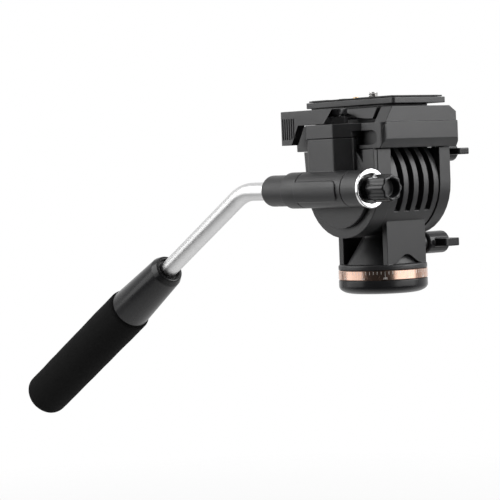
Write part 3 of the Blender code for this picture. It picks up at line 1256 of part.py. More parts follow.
def on_grip(name, profile, body, finish, steps=ROUND_MEDIUM):
    """A turned piece about the drooping end of the handle; its heights are counted from the elbow."""
    obj = turned(name, profile, steps)
    obj.rotation_euler = (QUARTER + DROOP, 0, 0)
    obj.location = (barrel_x, ELBOW_Y, barrel_z)
    return piece(obj, finish, body)


def make_grip(body):
    """The grip: a glossy tapered sleeve, a core on the tube, and the foam over the core."""
    bore = TUBE_RADIUS + GAP
    on_grip("grip_sleeve", [
        (SLEEVE_END_RADIUS, SLEEVE_END), (SLEEVE_START_RADIUS, SLEEVE_START + SLEEVE_SHOULDER),
        (SLEEVE_RIM_RADIUS, SLEEVE_START), (SLEEVE_MOUTH_RADIUS, SLEEVE_START),
        (SLEEVE_MOUTH_RADIUS, SLEEVE_START + SLEEVE_MOUTH_DEPTH), (bore, SLEEVE_START + SLEEVE_MOUTH_DEPTH),
        (bore, SLEEVE_END)], body, "black_gloss")
    start = SLEEVE_END + GAP
    on_grip("grip_core", [
        (GRIP_CORE_RADIUS, CORE_END), (GRIP_CORE_RADIUS, start), (bore, start), (bore, CORE_END)],
        body, "black_plastic")
    room = GRIP_CORE_RADIUS + GAP
    end_centre = (FOAM_RADIUS - FOAM_END_ROUND, foam_end - FOAM_END_ROUND)
    profile = [(0, foam_end)] + arc(end_centre, FOAM_END_ROUND, QUARTER, 0, FOAM_ROUND_STEPS)
    profile += [
        (FOAM_RADIUS, start + FOAM_START_ROUND), (FOAM_RADIUS - FOAM_START_ROUND, start), (room, start),
        (room, CORE_END + GAP), (0, CORE_END + GAP)]
    on_grip("foam_grip", profile, body, "black_foam", ROUND_LARGE)


def main():
    """Build the head, one body at a time."""
    clear_scene()
    base = joint_empty("base", (0, 0, 0))
    pan = joint_empty("pan_axis", (0, 0, 0))
    pan_lock = joint_empty("pan_lock_axis", (-PAN_BOSS_REACH, 0, pan_lock_z))
    tilt = joint_empty("tilt_axis", (0, 0, TILT_AXIS_Z))
    tilt_lock = joint_empty("tilt_lock_axis", (-right_arm_outer, TILT_LOCK_Y, tilt_lock_z))
    jaw = joint_empty("jaw_slide", (JAW_FOOT_X, 0, stop_top))
    lever = joint_empty("lever_axis", (LEVER_PIVOT_X, LEVER_PIVOT_Y, stop_top))
    screw_turn = joint_empty("camera_screw_axis", (0, CAMERA_SCREW_Y, stop_top))
    pin_press = joint_empty("video_pin_axis", (0, VIDEO_PIN_Y, plate_top))
    handle = joint_empty("handle_axis", (barrel_x, BARREL_REAR_Y, barrel_z))
    knob_turn = joint_empty("handle_knob_axis", (barrel_x, knob_start_y, barrel_z))
    make_base_cup(base)
    make_degree_ring(base)
    make_spindle(base)
    make_spindle_stack(base)
    make_pan_housing(pan)
    make_pan_bearing(pan)
    make_damper(pan, tilt)
    make_pan_lock(pan_lock)
    make_arms(tilt)
    make_tilt_lock(tilt_lock, tilt)
    make_platform(tilt)
    make_platform_screws(tilt)
    make_camera_plate(tilt)
    make_camera_screw(screw_turn)
    make_video_pin(pin_press, tilt)
    make_plate_jaw(jaw)
    make_plate_lever(lever)
    make_handle_mount(tilt)
    make_front_sleeve(tilt)
    make_handle_socket(handle)
    make_handle_tube(handle)
    make_grip(handle)
    make_handle_knob(knob_turn)


main()
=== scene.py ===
"""Fluid video head: finer meshes, finishes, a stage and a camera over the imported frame.

Metres, +Z up the pan axis, +Y the way the camera looks, +X the handle's side.
"""
import json
import math

import bmesh
import bpy
from bpy.props import FloatProperty, FloatVectorProperty, IntProperty, PointerProperty
from mathutils import Matrix, Vector, noise


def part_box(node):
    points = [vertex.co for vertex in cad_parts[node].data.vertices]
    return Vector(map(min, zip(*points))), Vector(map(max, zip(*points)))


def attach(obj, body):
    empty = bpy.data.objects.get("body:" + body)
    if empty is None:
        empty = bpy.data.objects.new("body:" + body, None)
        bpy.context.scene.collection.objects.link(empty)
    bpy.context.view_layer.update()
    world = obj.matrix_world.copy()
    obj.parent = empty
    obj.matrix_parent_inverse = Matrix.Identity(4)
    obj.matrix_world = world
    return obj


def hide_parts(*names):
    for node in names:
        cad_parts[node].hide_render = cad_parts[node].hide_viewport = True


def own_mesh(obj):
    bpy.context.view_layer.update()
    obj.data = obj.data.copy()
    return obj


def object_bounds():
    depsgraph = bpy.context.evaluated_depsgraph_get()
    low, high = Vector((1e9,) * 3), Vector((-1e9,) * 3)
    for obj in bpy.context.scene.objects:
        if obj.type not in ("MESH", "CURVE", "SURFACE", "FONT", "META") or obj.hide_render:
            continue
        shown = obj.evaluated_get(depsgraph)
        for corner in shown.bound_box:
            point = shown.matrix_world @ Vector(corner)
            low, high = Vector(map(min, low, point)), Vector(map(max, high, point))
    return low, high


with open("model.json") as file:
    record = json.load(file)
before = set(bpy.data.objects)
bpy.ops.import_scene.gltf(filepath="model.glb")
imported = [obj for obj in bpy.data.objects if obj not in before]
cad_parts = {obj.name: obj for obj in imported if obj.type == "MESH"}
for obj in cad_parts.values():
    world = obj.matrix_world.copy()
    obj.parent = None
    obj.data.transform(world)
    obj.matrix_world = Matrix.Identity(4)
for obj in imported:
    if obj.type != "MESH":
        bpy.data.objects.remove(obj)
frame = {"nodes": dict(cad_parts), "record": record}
CAD_BOX = [list(corner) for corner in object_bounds()]

bl_info = {
    "name": "Fluid video head",
    "version": (1, 0, 0),
    "blender": (4, 5, 0),
    "location": "View3D > Sidebar > Video head",
    "description": "Dresses a fluid video head with fine meshes and finishes, and sets its stage",
    "category": "Object",
}

QUARTER = math.radians(90)
FULL_TURN = math.radians(360)

# Lines that the solids follow, read from the frame
RING_LOW, RING_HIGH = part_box("degree_ring")
CUP_LOW, CUP_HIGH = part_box("base_cup")
TUBE_LOW, TUBE_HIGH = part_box("handle_tube")
SOCKET_LOW, SOCKET_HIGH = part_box("handle_socket")
KNOB_LOW, KNOB_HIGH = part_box("handle_knob")
CHROME_LOW, CHROME_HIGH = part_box("rosette_ring")
PAD_LOW, PAD_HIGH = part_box("plate_pad")
SCREW_LOW, SCREW_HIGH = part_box("camera_screw")
PIN_LOW, PIN_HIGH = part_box("video_pin")
CAP_LOW, CAP_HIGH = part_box("pivot_cap")
BUSH_LOW, BUSH_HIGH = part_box("tripod_bush")
BARREL_X = (SOCKET_LOW.x + SOCKET_HIGH.x) / 2
BARREL_Z = (SOCKET_LOW.z + SOCKET_HIGH.z) / 2

# Places along the drooping end of the handle, counted from its elbow
ELBOW = Vector((BARREL_X, -0.0864, BARREL_Z))
ELBOW_BEND = 0.035
DROOP = math.radians(31.7)
TUBE_FAR = 0.2765
SLEEVE_NEAR, SLEEVE_FAR = 0.1028, 0.1596
CORE_FAR = 0.2865
FOAM_FAR = 0.2975
CLEAR = 0.0003

UPRIGHT = Matrix.Identity(4)
ALONG_BARREL = Matrix.Translation((BARREL_X, 0, BARREL_Z)) @ Matrix.Rotation(-QUARTER, 4, 'X')
ALONG_GRIP = Matrix.Translation(ELBOW) @ Matrix.Rotation(QUARTER + DROOP, 4, 'X')


class HeadFinishes(bpy.types.PropertyGroup):
    """Colours and sheens of the head's finishes."""

    casting: FloatVectorProperty(
        name="Casting coat", description="Satin black coat on the castings",
        subtype='COLOR', size=3, min=0, max=1, default=(0.019, 0.019, 0.020))
    gloss: FloatVectorProperty(
        name="Moulded black", description="Glossy black plastic of the base, knobs and sleeve",
        subtype='COLOR', size=3, min=0, max=1, default=(0.010, 0.010, 0.011))
    foam: FloatVectorProperty(
        name="Grip foam", description="Matt black foam of the grip",
        subtype='COLOR', size=3, min=0, max=1, default=(0.007, 0.007, 0.007))
    rubber: FloatVectorProperty(
        name="Plate rubber", description="Rubber pad on the camera plate",
        subtype='COLOR', size=3, min=0, max=1, default=(0.020, 0.020, 0.020))
    copper: FloatVectorProperty(
        name="Degree ring", description="Copper-coloured anodised ring",
        subtype='COLOR', size=3, min=0, max=1, default=(0.78, 0.52, 0.41))
    marks: FloatVectorProperty(
        name="Ring marks", description="Printed marks and numbers on the degree ring",
        subtype='COLOR', size=3, min=0, max=1, default=(0.86, 0.84, 0.82))
    tube: FloatVectorProperty(
        name="Handle tube", description="Satin anodised aluminium",
        subtype='COLOR', size=3, min=0, max=1, default=(0.74, 0.74, 0.74))
    chrome: FloatVectorProperty(
        name="Bright ring", description="Polished ring behind the handle knob",
        subtype='COLOR', size=3, min=0, max=1, default=(0.90, 0.90, 0.91))
    steel: FloatVectorProperty(
        name="Steel", description="Screws, stud and axle",
        subtype='COLOR', size=3, min=0, max=1, default=(0.58, 0.57, 0.56))
    brass: FloatVectorProperty(
        name="Brass", description="Bushes, insert and video pin",
        subtype='COLOR', size=3, min=0, max=1, default=(0.78, 0.56, 0.33))
    nylon: FloatVectorProperty(
        name="Nylon", description="Lock pads and thrust washer",
        subtype='COLOR', size=3, min=0, max=1, default=(0.74, 0.72, 0.66))
    casting_roughness: FloatProperty(
        name="Casting roughness", description="How satin the coat on the castings is",
        subtype='FACTOR', min=0, max=1, default=0.40)
    gloss_roughness: FloatProperty(
        name="Moulded roughness", description="How glossy the moulded black plastic is",
        subtype='FACTOR', min=0, max=1, default=0.24)


class HeadSizes(bpy.types.PropertyGroup):
    """Small sizes that the solids leave out."""

    casting_edge: FloatProperty(
        name="Casting edge", description="Width of the rounding on the castings' edges",
        unit='LENGTH', min=0, default=0.00045)
    moulding_grid: FloatProperty(
        name="Moulding grid", description="Size of the small squares that the lock knobs are moulded from",
        unit='LENGTH', min=0.0001, default=0.00032)
    moulding_rounds: IntProperty(
        name="Moulding rounds", description="How often the lock knobs are smoothed", min=0, default=14)
    ring_edge: FloatProperty(
        name="Ring edge", description="Chamfer of the degree ring",
        unit='LENGTH', min=0, default=0.00035)
    mark_count: IntProperty(
        name="Short marks", description="Short marks round the degree ring", min=3, default=72)
    number_count: IntProperty(
        name="Numbered marks", description="Long marks with numbers round the degree ring",
        min=3, default=12)
    mark_length: FloatProperty(
        name="Short mark", description="Length of a short mark", unit='LENGTH', min=0, default=0.0021)
    long_mark_length: FloatProperty(
        name="Long mark", description="Length of a numbered mark", unit='LENGTH', min=0, default=0.0035)
    mark_width: FloatProperty(
        name="Mark width", description="Width of a mark", unit='LENGTH', min=0, default=0.00022)
    number_height: FloatProperty(
        name="Number height", description="Height of the plain numbers", unit='LENGTH', min=0,
        default=0.0015)
    number_turn: FloatProperty(
        name="Number turn", description="Where the mark of half a turn stands, from +X towards +Y",
        subtype='ANGLE', default=math.radians(48.8))
    rib_pitch: FloatProperty(
        name="Pad rib pitch", description="Distance between the ribs of the plate's rubber pad",
        unit='LENGTH', min=0.0002, default=0.0016)
    rib_height: FloatProperty(
        name="Pad rib height", description="How far the pad's ribs stand up", unit='LENGTH', min=0,
        default=0.00025)
    camera_thread_pitch: FloatProperty(
        name="Camera screw pitch", description="Pitch of the camera screw's thread", unit='LENGTH',
        min=0.0002, default=0.00127)
    tripod_thread_pitch: FloatProperty(
        name="Tripod thread pitch", description="Pitch of the tripod bush's thread", unit='LENGTH',
        min=0.0002, default=0.0015875)
    foam_unevenness: FloatProperty(
        name="Foam unevenness", description="How far the foam's skin wanders", unit='LENGTH', min=0,
        default=0.00022)


class HeadStage(bpy.types.PropertyGroup):
    """Camera and lights."""

    azimuth: FloatProperty(
        name="Azimuth", description="Where the camera stands, counted as the views count it",
        subtype='ANGLE', default=math.radians(136.326))
    elevation: FloatProperty(
        name="Elevation", description="Height of the camera over the head", subtype='ANGLE',
        default=math.radians(1.0))
    roll: FloatProperty(
        name="Roll", description="Roll of the camera", subtype='ANGLE', default=math.radians(2.198))
    aside: FloatProperty(
        name="Aside", description="Turn of the camera away from the head, to the side",
        subtype='ANGLE', default=math.radians(3.514))
    upward: FloatProperty(
        name="Upward", description="Turn of the camera away from the head, upwards",
        subtype='ANGLE', default=math.radians(1.105))
    distance: FloatProperty(
        name="Distance", description="Distance of the camera from the point it is set on",
        unit='LENGTH', min=0.1, default=1.4555)
    focal_length: FloatProperty(
        name="Focal length", description="Lens of the camera in millimetres", min=1, default=154.99)
    aim: FloatVectorProperty(
        name="Aim", description="Point that the camera is set on", subtype='TRANSLATION', size=3,
        default=(0, 0, 0.060))
    front_light: FloatProperty(
        name="Front light", description="Watts of the soft light before the lens side", min=0,
        default=7.4)
    side_light: FloatProperty(
        name="Side light", description="Watts of the soft light beside the handle", min=0, default=4.5)
    low_share: FloatProperty(
        name="Low share", description="Power of each soft box's lower part, as a share of its upper part",
        min=0, default=0.13)
    top_light: FloatProperty(
        name="Top light", description="Watts of the soft light above", min=0, default=2.2)


def add_object(name, data):
    """Put a mesh, curve or lamp in the scene."""
    obj = bpy.data.objects.new(name, data)
    bpy.context.scene.collection.objects.link(obj)
    return obj


def object_from(name, bm, place=UPRIGHT):
    """An object from a bmesh, with its place in its mesh and its faces outwards."""
    bmesh.ops.transform(bm, matrix=place, verts=bm.verts)
    bmesh.ops.remove_doubles(bm, verts=bm.verts, dist=1e-7)
    bmesh.ops.recalc_face_normals(bm, faces=bm.faces)
    mesh = bpy.data.meshes.new(name)
    bm.to_mesh(mesh)
    bm.free()
    return add_object(name, mesh)


def plain_mesh(obj):
    """Work out an object's modifiers into its mesh."""
    depsgraph = bpy.context.evaluated_depsgraph_get()
    mesh = bpy.data.meshes.new_from_object(
        obj.evaluated_get(depsgraph), preserve_all_data_layers=True, depsgraph=depsgraph)
    obj.modifiers.clear()
    old = obj.data
    obj.data = mesh
    mesh.name = obj.name
    bpy.data.meshes.remove(old)
    return obj


def arc(centre, radius, first, last, steps):
    """Points of an arc about a centre."""
    turns = [first + (last - first) * step / steps for step in range(steps + 1)]
    return [(centre[0] + radius * math.cos(turn), centre[1] + radius * math.sin(turn)) for turn in turns]


def softened(corners, steps=4, closed=True):
    """An outline whose corners, given as (across, up, radius), are rounded."""
    points = []
    for index, (across, up, radius) in enumerate(corners):
        if radius == 0:
            points.append((across, up))
            continue
        corner = Vector((across, up))
        before = (Vector(corners[index - 1][:2]) - corner).normalized()
        after = (Vector(corners[(index + 1) % len(corners)][:2]) - corner).normalized()
        half = before.angle(after) / 2
        centre = corner + (before + after).normalized() * (radius / math.sin(half))
        start = corner + before * (radius / math.tan(half)) - centre
        end = corner + after * (radius / math.tan(half)) - centre
        first = math.atan2(start.y, start.x)
        sweep = math.atan2(start.x * end.y - start.y * end.x, start.dot(end))
        points += arc(centre, radius, first, first + sweep, steps)
    return points


def turned(name, profile, steps=96, place=UPRIGHT, lobes=0, lobe_depth=0.0):
    """A turned shape from (radius, height) points; a third number gives a point's share of the lobes."""
    bm = bmesh.new()
    rings = []
    for point in profile:
        radius, height = point[:2]
        share = point[2] if len(point) > 2 else 0
        if radius < 1e-7:
            rings.append([bm.verts.new((0, 0, height))])
            continue
        ring = []
        for step in range(steps):
            turn = FULL_TURN * step / steps
            dent = share * lobe_depth * (1 - math.cos(lobes * turn)) / 2
            across = radius - dent
            ring.append(bm.verts.new((across * math.cos(turn), across * math.sin(turn), height)))
        rings.append(ring)
    pairs = list(zip(rings, rings[1:]))
    if len(rings[0]) > 1 and len(rings[-1]) > 1:
        pairs.append((rings[-1], rings[0]))
    for first, second in pairs:
        for step in range(steps):
            corners = [
                first[step % len(first)], first[(step + 1) % len(first)],
                second[(step + 1) % len(second)], second[step % len(second)]]
            face = list(dict.fromkeys(corners))
            if len(face) > 2:
                bm.faces.new(face)
    return object_from(name, bm, place)


def tri_wave(share):
    """A wave that rises from nothing to one and falls again as its share of a turn goes by."""
    return 1 - abs(2 * (share % 1) - 1)


def threaded(name, crest, depth, pitch, low, high, outer=None, place=UPRIGHT, steps=48):
    """A threaded rod between two heights, or with an outer radius a threaded bush."""
    bm = bmesh.new()
    sense = -1 if outer is None else 1
    base = crest - depth if outer is None else crest + depth
    levels = max(8, round((high - low) / pitch * 8))
    rings = []
    for level in range(levels + 1):
        height = low + (high - low) * level / levels
        lead = min(1, min(height - low, high - height) / pitch * 1.3)
        ring = []
        for step in range(steps):
            share = height / pitch - step / steps
            radius = base - sense * depth * tri_wave(share) * lead
            turn = FULL_TURN * step / steps
            ring.append(bm.verts.new((radius * math.cos(turn), radius * math.sin(turn), height)))
        rings.append(ring)
    if outer is not None:
        for height in (high, low):
            rings.append([
                bm.verts.new((outer * math.cos(FULL_TURN * step / steps),
                              outer * math.sin(FULL_TURN * step / steps), height))
                for step in range(steps)])
        rings.append(rings[0])
    for first, second in zip(rings, rings[1:]):
        for step in range(steps):
            after = (step + 1) % steps
            bm.faces.new((first[step], first[after], second[after], second[step]))
    if outer is None:
        bm.faces.new(rings[0][::-1])
        bm.faces.new(rings[-1])
    return object_from(name, bm, place)


def cad_copy(name, *nodes):
    """A cleaned copy of one CAD node's mesh, or of several: merged, with its flat faces whole."""
    bm = bmesh.new()
    for node in nodes:
        bm.from_mesh(frame["nodes"][node].data)
    bmesh.ops.remove_doubles(bm, verts=bm.verts, dist=0.00002)
    bmesh.ops.dissolve_degenerate(bm, dist=0.00002, edges=bm.edges)
    bmesh.ops.dissolve_limit(bm, angle_limit=math.radians(0.8), verts=bm.verts, edges=bm.edges)
    return object_from(name, bm)


def cut_with(obj, tool):
    """Cut a shape out of an object, and remove the shape."""
    boolean = obj.modifiers.new("cut", 'BOOLEAN')
    boolean.operation = 'DIFFERENCE'
    boolean.solver = 'EXACT'
    boolean.object = tool
    plain_mesh(obj)
    bpy.data.objects.remove(tool, do_unlink=True)
    return obj


def moulded(obj, grid, rounds):
    """Make a piece soft at its edges, as a moulding is: even small squares, smoothed."""
    remesh = obj.modifiers.new("grid", 'REMESH')
    remesh.mode = 'VOXEL'
    remesh.voxel_size = grid
    soft = obj.modifiers.new("soft", 'SMOOTH')
    soft.factor = 0.5
    soft.iterations = rounds
    plain_mesh(obj)
    return obj


def slab_along_x(name, outline, first, last):
    """A closed prism with its outline in Y and Z, from one X to another."""
    bm = bmesh.new()
    face = bm.faces.new([bm.verts.new((first, y, z)) for y, z in outline])
    grown_part = bmesh.ops.extrude_face_region(bm, geom=[face])["geom"]
    bmesh.ops.translate(
        bm, vec=(last - first, 0, 0), verts=[item for item in grown_part if isinstance(item, bmesh.types.BMVert)])
    bmesh.ops.recalc_face_normals(bm, faces=bm.faces)
    return object_from(name, bm)


def joined(name, objects):
    """Several plain objects made one."""
    bm = bmesh.new()
    for obj in objects:
        bm.from_mesh(obj.data)
        bpy.data.objects.remove(obj, do_unlink=True)
    mesh = bpy.data.meshes.new(name)
    bm.to_mesh(mesh)
    bm.free()
    return add_object(name, mesh)


def mark_edges(mesh):
    """Write how exposed each point is, from 0 on a face to 1 on a rounded edge."""
    bm = bmesh.new()
    bm.from_mesh(mesh)
    on_edge = [0.0] * len(bm.verts)
    for edge in bm.edges:
        if len(edge.link_faces) != 2:
            continue
        bend = edge.calc_face_angle_signed(0)
        share = min(1, max(0, (math.degrees(bend) - 20) / 8))
        for vert in edge.verts:
            on_edge[vert.index] = max(on_edge[vert.index], share)
    bm.free()
    layer = mesh.attributes.new("edge", 'FLOAT', 'POINT')
    layer.data.foreach_set("value", on_edge)


def settle(obj, finish, body, nodes=(), edge=0, segments=3, smooth=42):
    """Finish a piece: round its edges, shade it, give it its material and its body, and hide the CAD nodes it stands
    in for.
    """
    if edge:
        bevel = obj.modifiers.new("edge", 'BEVEL')
        bevel.width = edge
        bevel.segments = segments
        bevel.limit_method = 'ANGLE'
        bevel.angle_limit = math.radians(34)
        bevel.use_clamp_overlap = False
        bevel.miter_outer = 'MITER_ARC'
        plain_mesh(obj)
    mesh = obj.data
    mesh.materials.clear()
    mesh.materials.append(finish)
    mesh.shade_smooth()
    mesh.set_sharp_from_angle(angle=math.radians(smooth))
    if edge:
        weighted = obj.modifiers.new("faces", 'WEIGHTED_NORMAL')
        weighted.keep_sharp = True
        plain_mesh(obj)
    mark_edges(obj.data)
    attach(obj, body)
    if nodes:
        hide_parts(*nodes)
    return obj


def group_socket(group, name, kind, way, default=None):
    """Add a named socket to a node group."""
    socket = group.interface.new_socket(name=name, in_out=way, socket_type=kind)
    if default is not None:
        socket.default_value = default
    return socket


def linked(tree, kind, inputs, **settings):
    """A node whose settings and inputs are given; an input is a socket or a value."""
    node = tree.nodes.new(kind)
    for key, value in settings.items():
        setattr(node, key, value)
    for key, value in inputs.items():
        socket = node.inputs[key]
        if isinstance(value, bpy.types.NodeSocket):
            tree.links.new(value, socket)
        else:
            socket.default_value = value
    return node


def ranged(tree, value, low, high, start=0.0, end=1.0):
    """A value carried from one range to another."""
    node = linked(tree, "ShaderNodeMapRange", {
        "Value": value, "From Min": start, "From Max": end, "To Min": low, "To Max": high})
    return node.outputs["Result"]


def calculated(tree, operation, *values):
    """A math node's result."""
    node = linked(tree, "ShaderNodeMath", dict(enumerate(values)), operation=operation)
    return node.outputs[0]


def group_start(name, inputs, outputs):
    """A new shader group with its inputs and outputs, or nothing where it is already there."""
    group = bpy.data.node_groups.new(name, 'ShaderNodeTree')
    for label, kind, default in inputs:
        group_socket(group, label, kind, 'INPUT', default)
    for label, kind in outputs:
        group_socket(group, label, kind, 'OUTPUT')
    return group, group.nodes.new("NodeGroupInput").outputs, group.nodes.new("NodeGroupOutput").inputs


def coat_grain_group():
    """Fine pebbled grain of a sprayed coat, with slow changes in its sheen."""
    group, given, out = group_start(
        "coat_grain",
        [("Vector", "NodeSocketVector", None), ("Grain per metre", "NodeSocketFloat", 2600.0),
         ("Drift per metre", "NodeSocketFloat", 38.0)],
        [("Height", "NodeSocketFloat"), ("Drift", "NodeSocketFloat")])
    fine = linked(group, "ShaderNodeTexNoise", {
        "Vector": given["Vector"], "Scale": given["Grain per metre"], "Detail": 2.0, "Roughness": 0.55})
    cells = linked(group, "ShaderNodeTexVoronoi", {
        "Vector": given["Vector"], "Scale": given["Grain per metre"]}, feature='SMOOTH_F1')
    drift = linked(group, "ShaderNodeTexNoise", {
        "Vector": given["Vector"], "Scale": given["Drift per metre"], "Detail": 4.0, "Roughness": 0.6})
    height = calculated(group, 'ADD', fine.outputs["Fac"], cells.outputs["Distance"])
    group.links.new(height, out["Height"])
    group.links.new(drift.outputs["Fac"], out["Drift"])
    return group


def edge_rub_group():
    """Where exposed edges are glossier, and a painted highlight makes their colour a little lighter."""
    group, given, out = group_start(
        "edge_polish_and_highlight",
        [("Vector", "NodeSocketVector", None), ("Amount", "NodeSocketFloat", 0.5)],
        [("Mask", "NodeSocketFloat")])
    edge = linked(group, "ShaderNodeAttribute", {}, attribute_name="edge")
    patches = linked(group, "ShaderNodeTexNoise", {
        "Vector": given["Vector"], "Scale": 160.0, "Detail": 4.0})
    broken = ranged(group, patches.outputs["Fac"], 0.25, 1.0, 0.35, 0.65)
    mask = calculated(group, 'MULTIPLY', edge.outputs["Fac"], broken)
    group.links.new(calculated(group, 'MULTIPLY', mask, given["Amount"]), out["Mask"])
    return group


def turning_group():
    """Fine lines that a lathe or a brush leaves round an axis, in coordinates turned to that axis."""
    group, given, out = group_start(
        "turning_lines",
        [("Vector", "NodeSocketVector", None), ("Lines per metre", "NodeSocketFloat", 5000.0),
         ("Run", "NodeSocketFloat", 6.0)],
        [("Height", "NodeSocketFloat"), ("Shade", "NodeSocketFloat")])
    parts = linked(group, "ShaderNodeSeparateXYZ", {"Vector": given["Vector"]})
    x, y, z = parts.outputs
    squares = calculated(group, 'ADD', calculated(group, 'MULTIPLY', x, x), calculated(group, 'MULTIPLY', y, y))
    radius = calculated(group, 'SQRT', squares)
    turn = calculated(group, 'ARCTAN2', y, x)
    along = linked(group, "ShaderNodeCombineXYZ", {
        "X": calculated(group, 'MULTIPLY', radius, given["Lines per metre"]),
        "Y": calculated(group, 'MULTIPLY', z, given["Lines per metre"]),
        "Z": calculated(group, 'MULTIPLY', turn, given["Run"])})
    lines = linked(group, "ShaderNodeTexNoise", {
        "Vector": along.outputs[0], "Scale": 1.0, "Detail": 3.0, "Roughness": 0.6})
    group.links.new(lines.outputs["Fac"], out["Height"])
    group.links.new(ranged(group, lines.outputs["Fac"], 0.0, 1.0, 0.3, 0.7), out["Shade"])
    return group


def foam_cells_group():
    """Small closed cells of a foam skin, whose pits carry painted shade."""
    group, given, out = group_start(
        "foam_cells",
        [("Vector", "NodeSocketVector", None), ("Cells per metre", "NodeSocketFloat", 1900.0)],
        [("Height", "NodeSocketFloat"), ("Pit and painted shade", "NodeSocketFloat")])
    cells = linked(group, "ShaderNodeTexVoronoi", {
        "Vector": given["Vector"], "Scale": given["Cells per metre"]})
    soft = linked(group, "ShaderNodeTexNoise", {
        "Vector": given["Vector"], "Scale": 420.0, "Detail": 3.0})
    both = calculated(group, 'ADD', cells.outputs["Distance"], soft.outputs["Fac"])
    group.links.new(both, out["Height"])
    group.links.new(ranged(group, cells.outputs["Distance"], 1.0, 0.0, 0.0, 0.5), out["Pit and painted shade"])
    return group


GROUP_MAKERS = {
    "coat_grain": coat_grain_group,
    "edge_polish_and_highlight": edge_rub_group,
    "turning_lines": turning_group,
    "foam_cells": foam_cells_group,
}


def placed_group(tree, name, **inputs):
    """A shared effect placed in a material."""
    group = bpy.data.node_groups.get(name) or GROUP_MAKERS[name]()
    node = tree.nodes.new("ShaderNodeGroup")
    node.node_tree = group
    for key, value in inputs.items():
        socket = node.inputs[key.replace("_", " ")]
        if isinstance(value, bpy.types.NodeSocket):
            tree.links.new(value, socket)
        else:
            socket.default_value = value
    return node.outputs


def coloured(tree, shader, factor, first, second):
    """Feed the base colour with a mix of two colours."""
    mix = linked(tree, "ShaderNodeMix", {}, data_type='RGBA')
    tree.links.new(factor, mix.inputs[0])
    mix.inputs[6].default_value = (*first, 1)
    mix.inputs[7].default_value = (*second, 1)
    tree.links.new(mix.outputs[2], shader.inputs["Base Color"])


def bumped(tree, shader, height, distance, strength=1.0):
    """Feed the normal with a bump from a height."""
    bump = linked(tree, "ShaderNodeBump", {"Height": height, "Distance": distance, "Strength": strength})
    tree.links.new(bump.outputs["Normal"], shader.inputs["Normal"])


def lighter(colour, share):
    """A colour moved towards white."""
    return tuple(part + (1 - part) * share for part in colour)


def scaled(colour, share):
    """A colour made darker or stronger."""
    return tuple(part * share for part in colour)


def start_material(name, place=None):
    """A new material with its tree, its shader and its Object coordinates, centred where asked."""
    material = bpy.data.materials.new(name)
    material.use_nodes = True
    tree = material.node_tree
    coordinates = tree.nodes.new("ShaderNodeTexCoord").outputs["Object"]
    if place is not None:
        back = place.inverted()
        mapping = linked(tree, "ShaderNodeMapping", {
            "Vector": coordinates, "Location": back.to_translation(), "Rotation": back.to_euler()})
        coordinates = mapping.outputs[0]
    return material, tree, tree.nodes["Principled BSDF"], coordinates


def coated(name, colour, roughness, grain, depth, edge_highlight=0.35, drift=0.10, sheen=0.45):
    """A black coat or moulding: grained, a little uneven in sheen, glossier at its edges, with a painted highlight
    on them.
    """
    material, tree, shader, at = start_material(name)
    shader.inputs["Specular IOR Level"].default_value = sheen
    coat = placed_group(tree, "coat_grain", Vector=at, Grain_per_metre=grain)
    edge_gloss_and_highlight = placed_group(tree, "edge_polish_and_highlight", Vector=at, Amount=edge_highlight)["Mask"]
    base = ranged(tree, coat["Drift"], roughness - drift / 2, roughness + drift / 2, 0.3, 0.7)
    tree.links.new(
        calculated(tree, 'MULTIPLY_ADD', edge_gloss_and_highlight, -roughness * 0.35, base), shader.inputs["Roughness"])
    # painted highlight: the colour is lifted towards white on exposed edges, added to random drift in the coat's
    # tone
    tone = calculated(tree, 'ADD', calculated(tree, 'MULTIPLY', coat["Drift"], 0.25), edge_gloss_and_highlight)
    coloured(tree, shader, tone, colour, lighter(colour, 0.05))
    bumped(tree, shader, coat["Height"], depth)
    return material


def turned_metal(name, colour, roughness, place=None, lines=5000.0, depth=0.00001, run=6.0, shade=0.82):
    """A metal with turning or brushing lines round an axis."""
    material, tree, shader, at = start_material(name, place)
    marks = placed_group(tree, "turning_lines", Vector=at, Lines_per_metre=lines, Run=run)
    shader.inputs["Metallic"].default_value = 1.0
    tree.links.new(
        ranged(tree, marks["Shade"], roughness * 0.8, roughness * 1.25), shader.inputs["Roughness"])
    coloured(tree, shader, marks["Shade"], scaled(colour, shade), colour)
    bumped(tree, shader, marks["Height"], depth)
    return material


def foam_material(name, colour):
    """Matt foam with small closed cells, their pits rougher and darkened with painted shade."""
    material, tree, shader, at = start_material(name)
    cells = placed_group(tree, "foam_cells", Vector=at)
    shader.inputs["Specular IOR Level"].default_value = 0.06
    tree.links.new(ranged(tree, cells["Pit and painted shade"], 0.82, 0.98), shader.inputs["Roughness"])
    # painted shade: the colour in the cells' pits is darkened to 0.6 of the foam's colour
    coloured(tree, shader, cells["Pit and painted shade"], lighter(colour, 0.003), scaled(colour, 0.6))
    bumped(tree, shader, cells["Height"], 0.00012)
    return material


def printed_material(name, colour):
    """Thin pale print."""
    material, tree, shader, at = start_material(name)
    coat = placed_group(tree, "coat_grain", Vector=at, Grain_per_metre=9000.0)
    tree.links.new(ranged(tree, coat["Drift"], 0.42, 0.58), shader.inputs["Roughness"])
    coloured(tree, shader, coat["Drift"], scaled(colour, 0.9), colour)
    return material


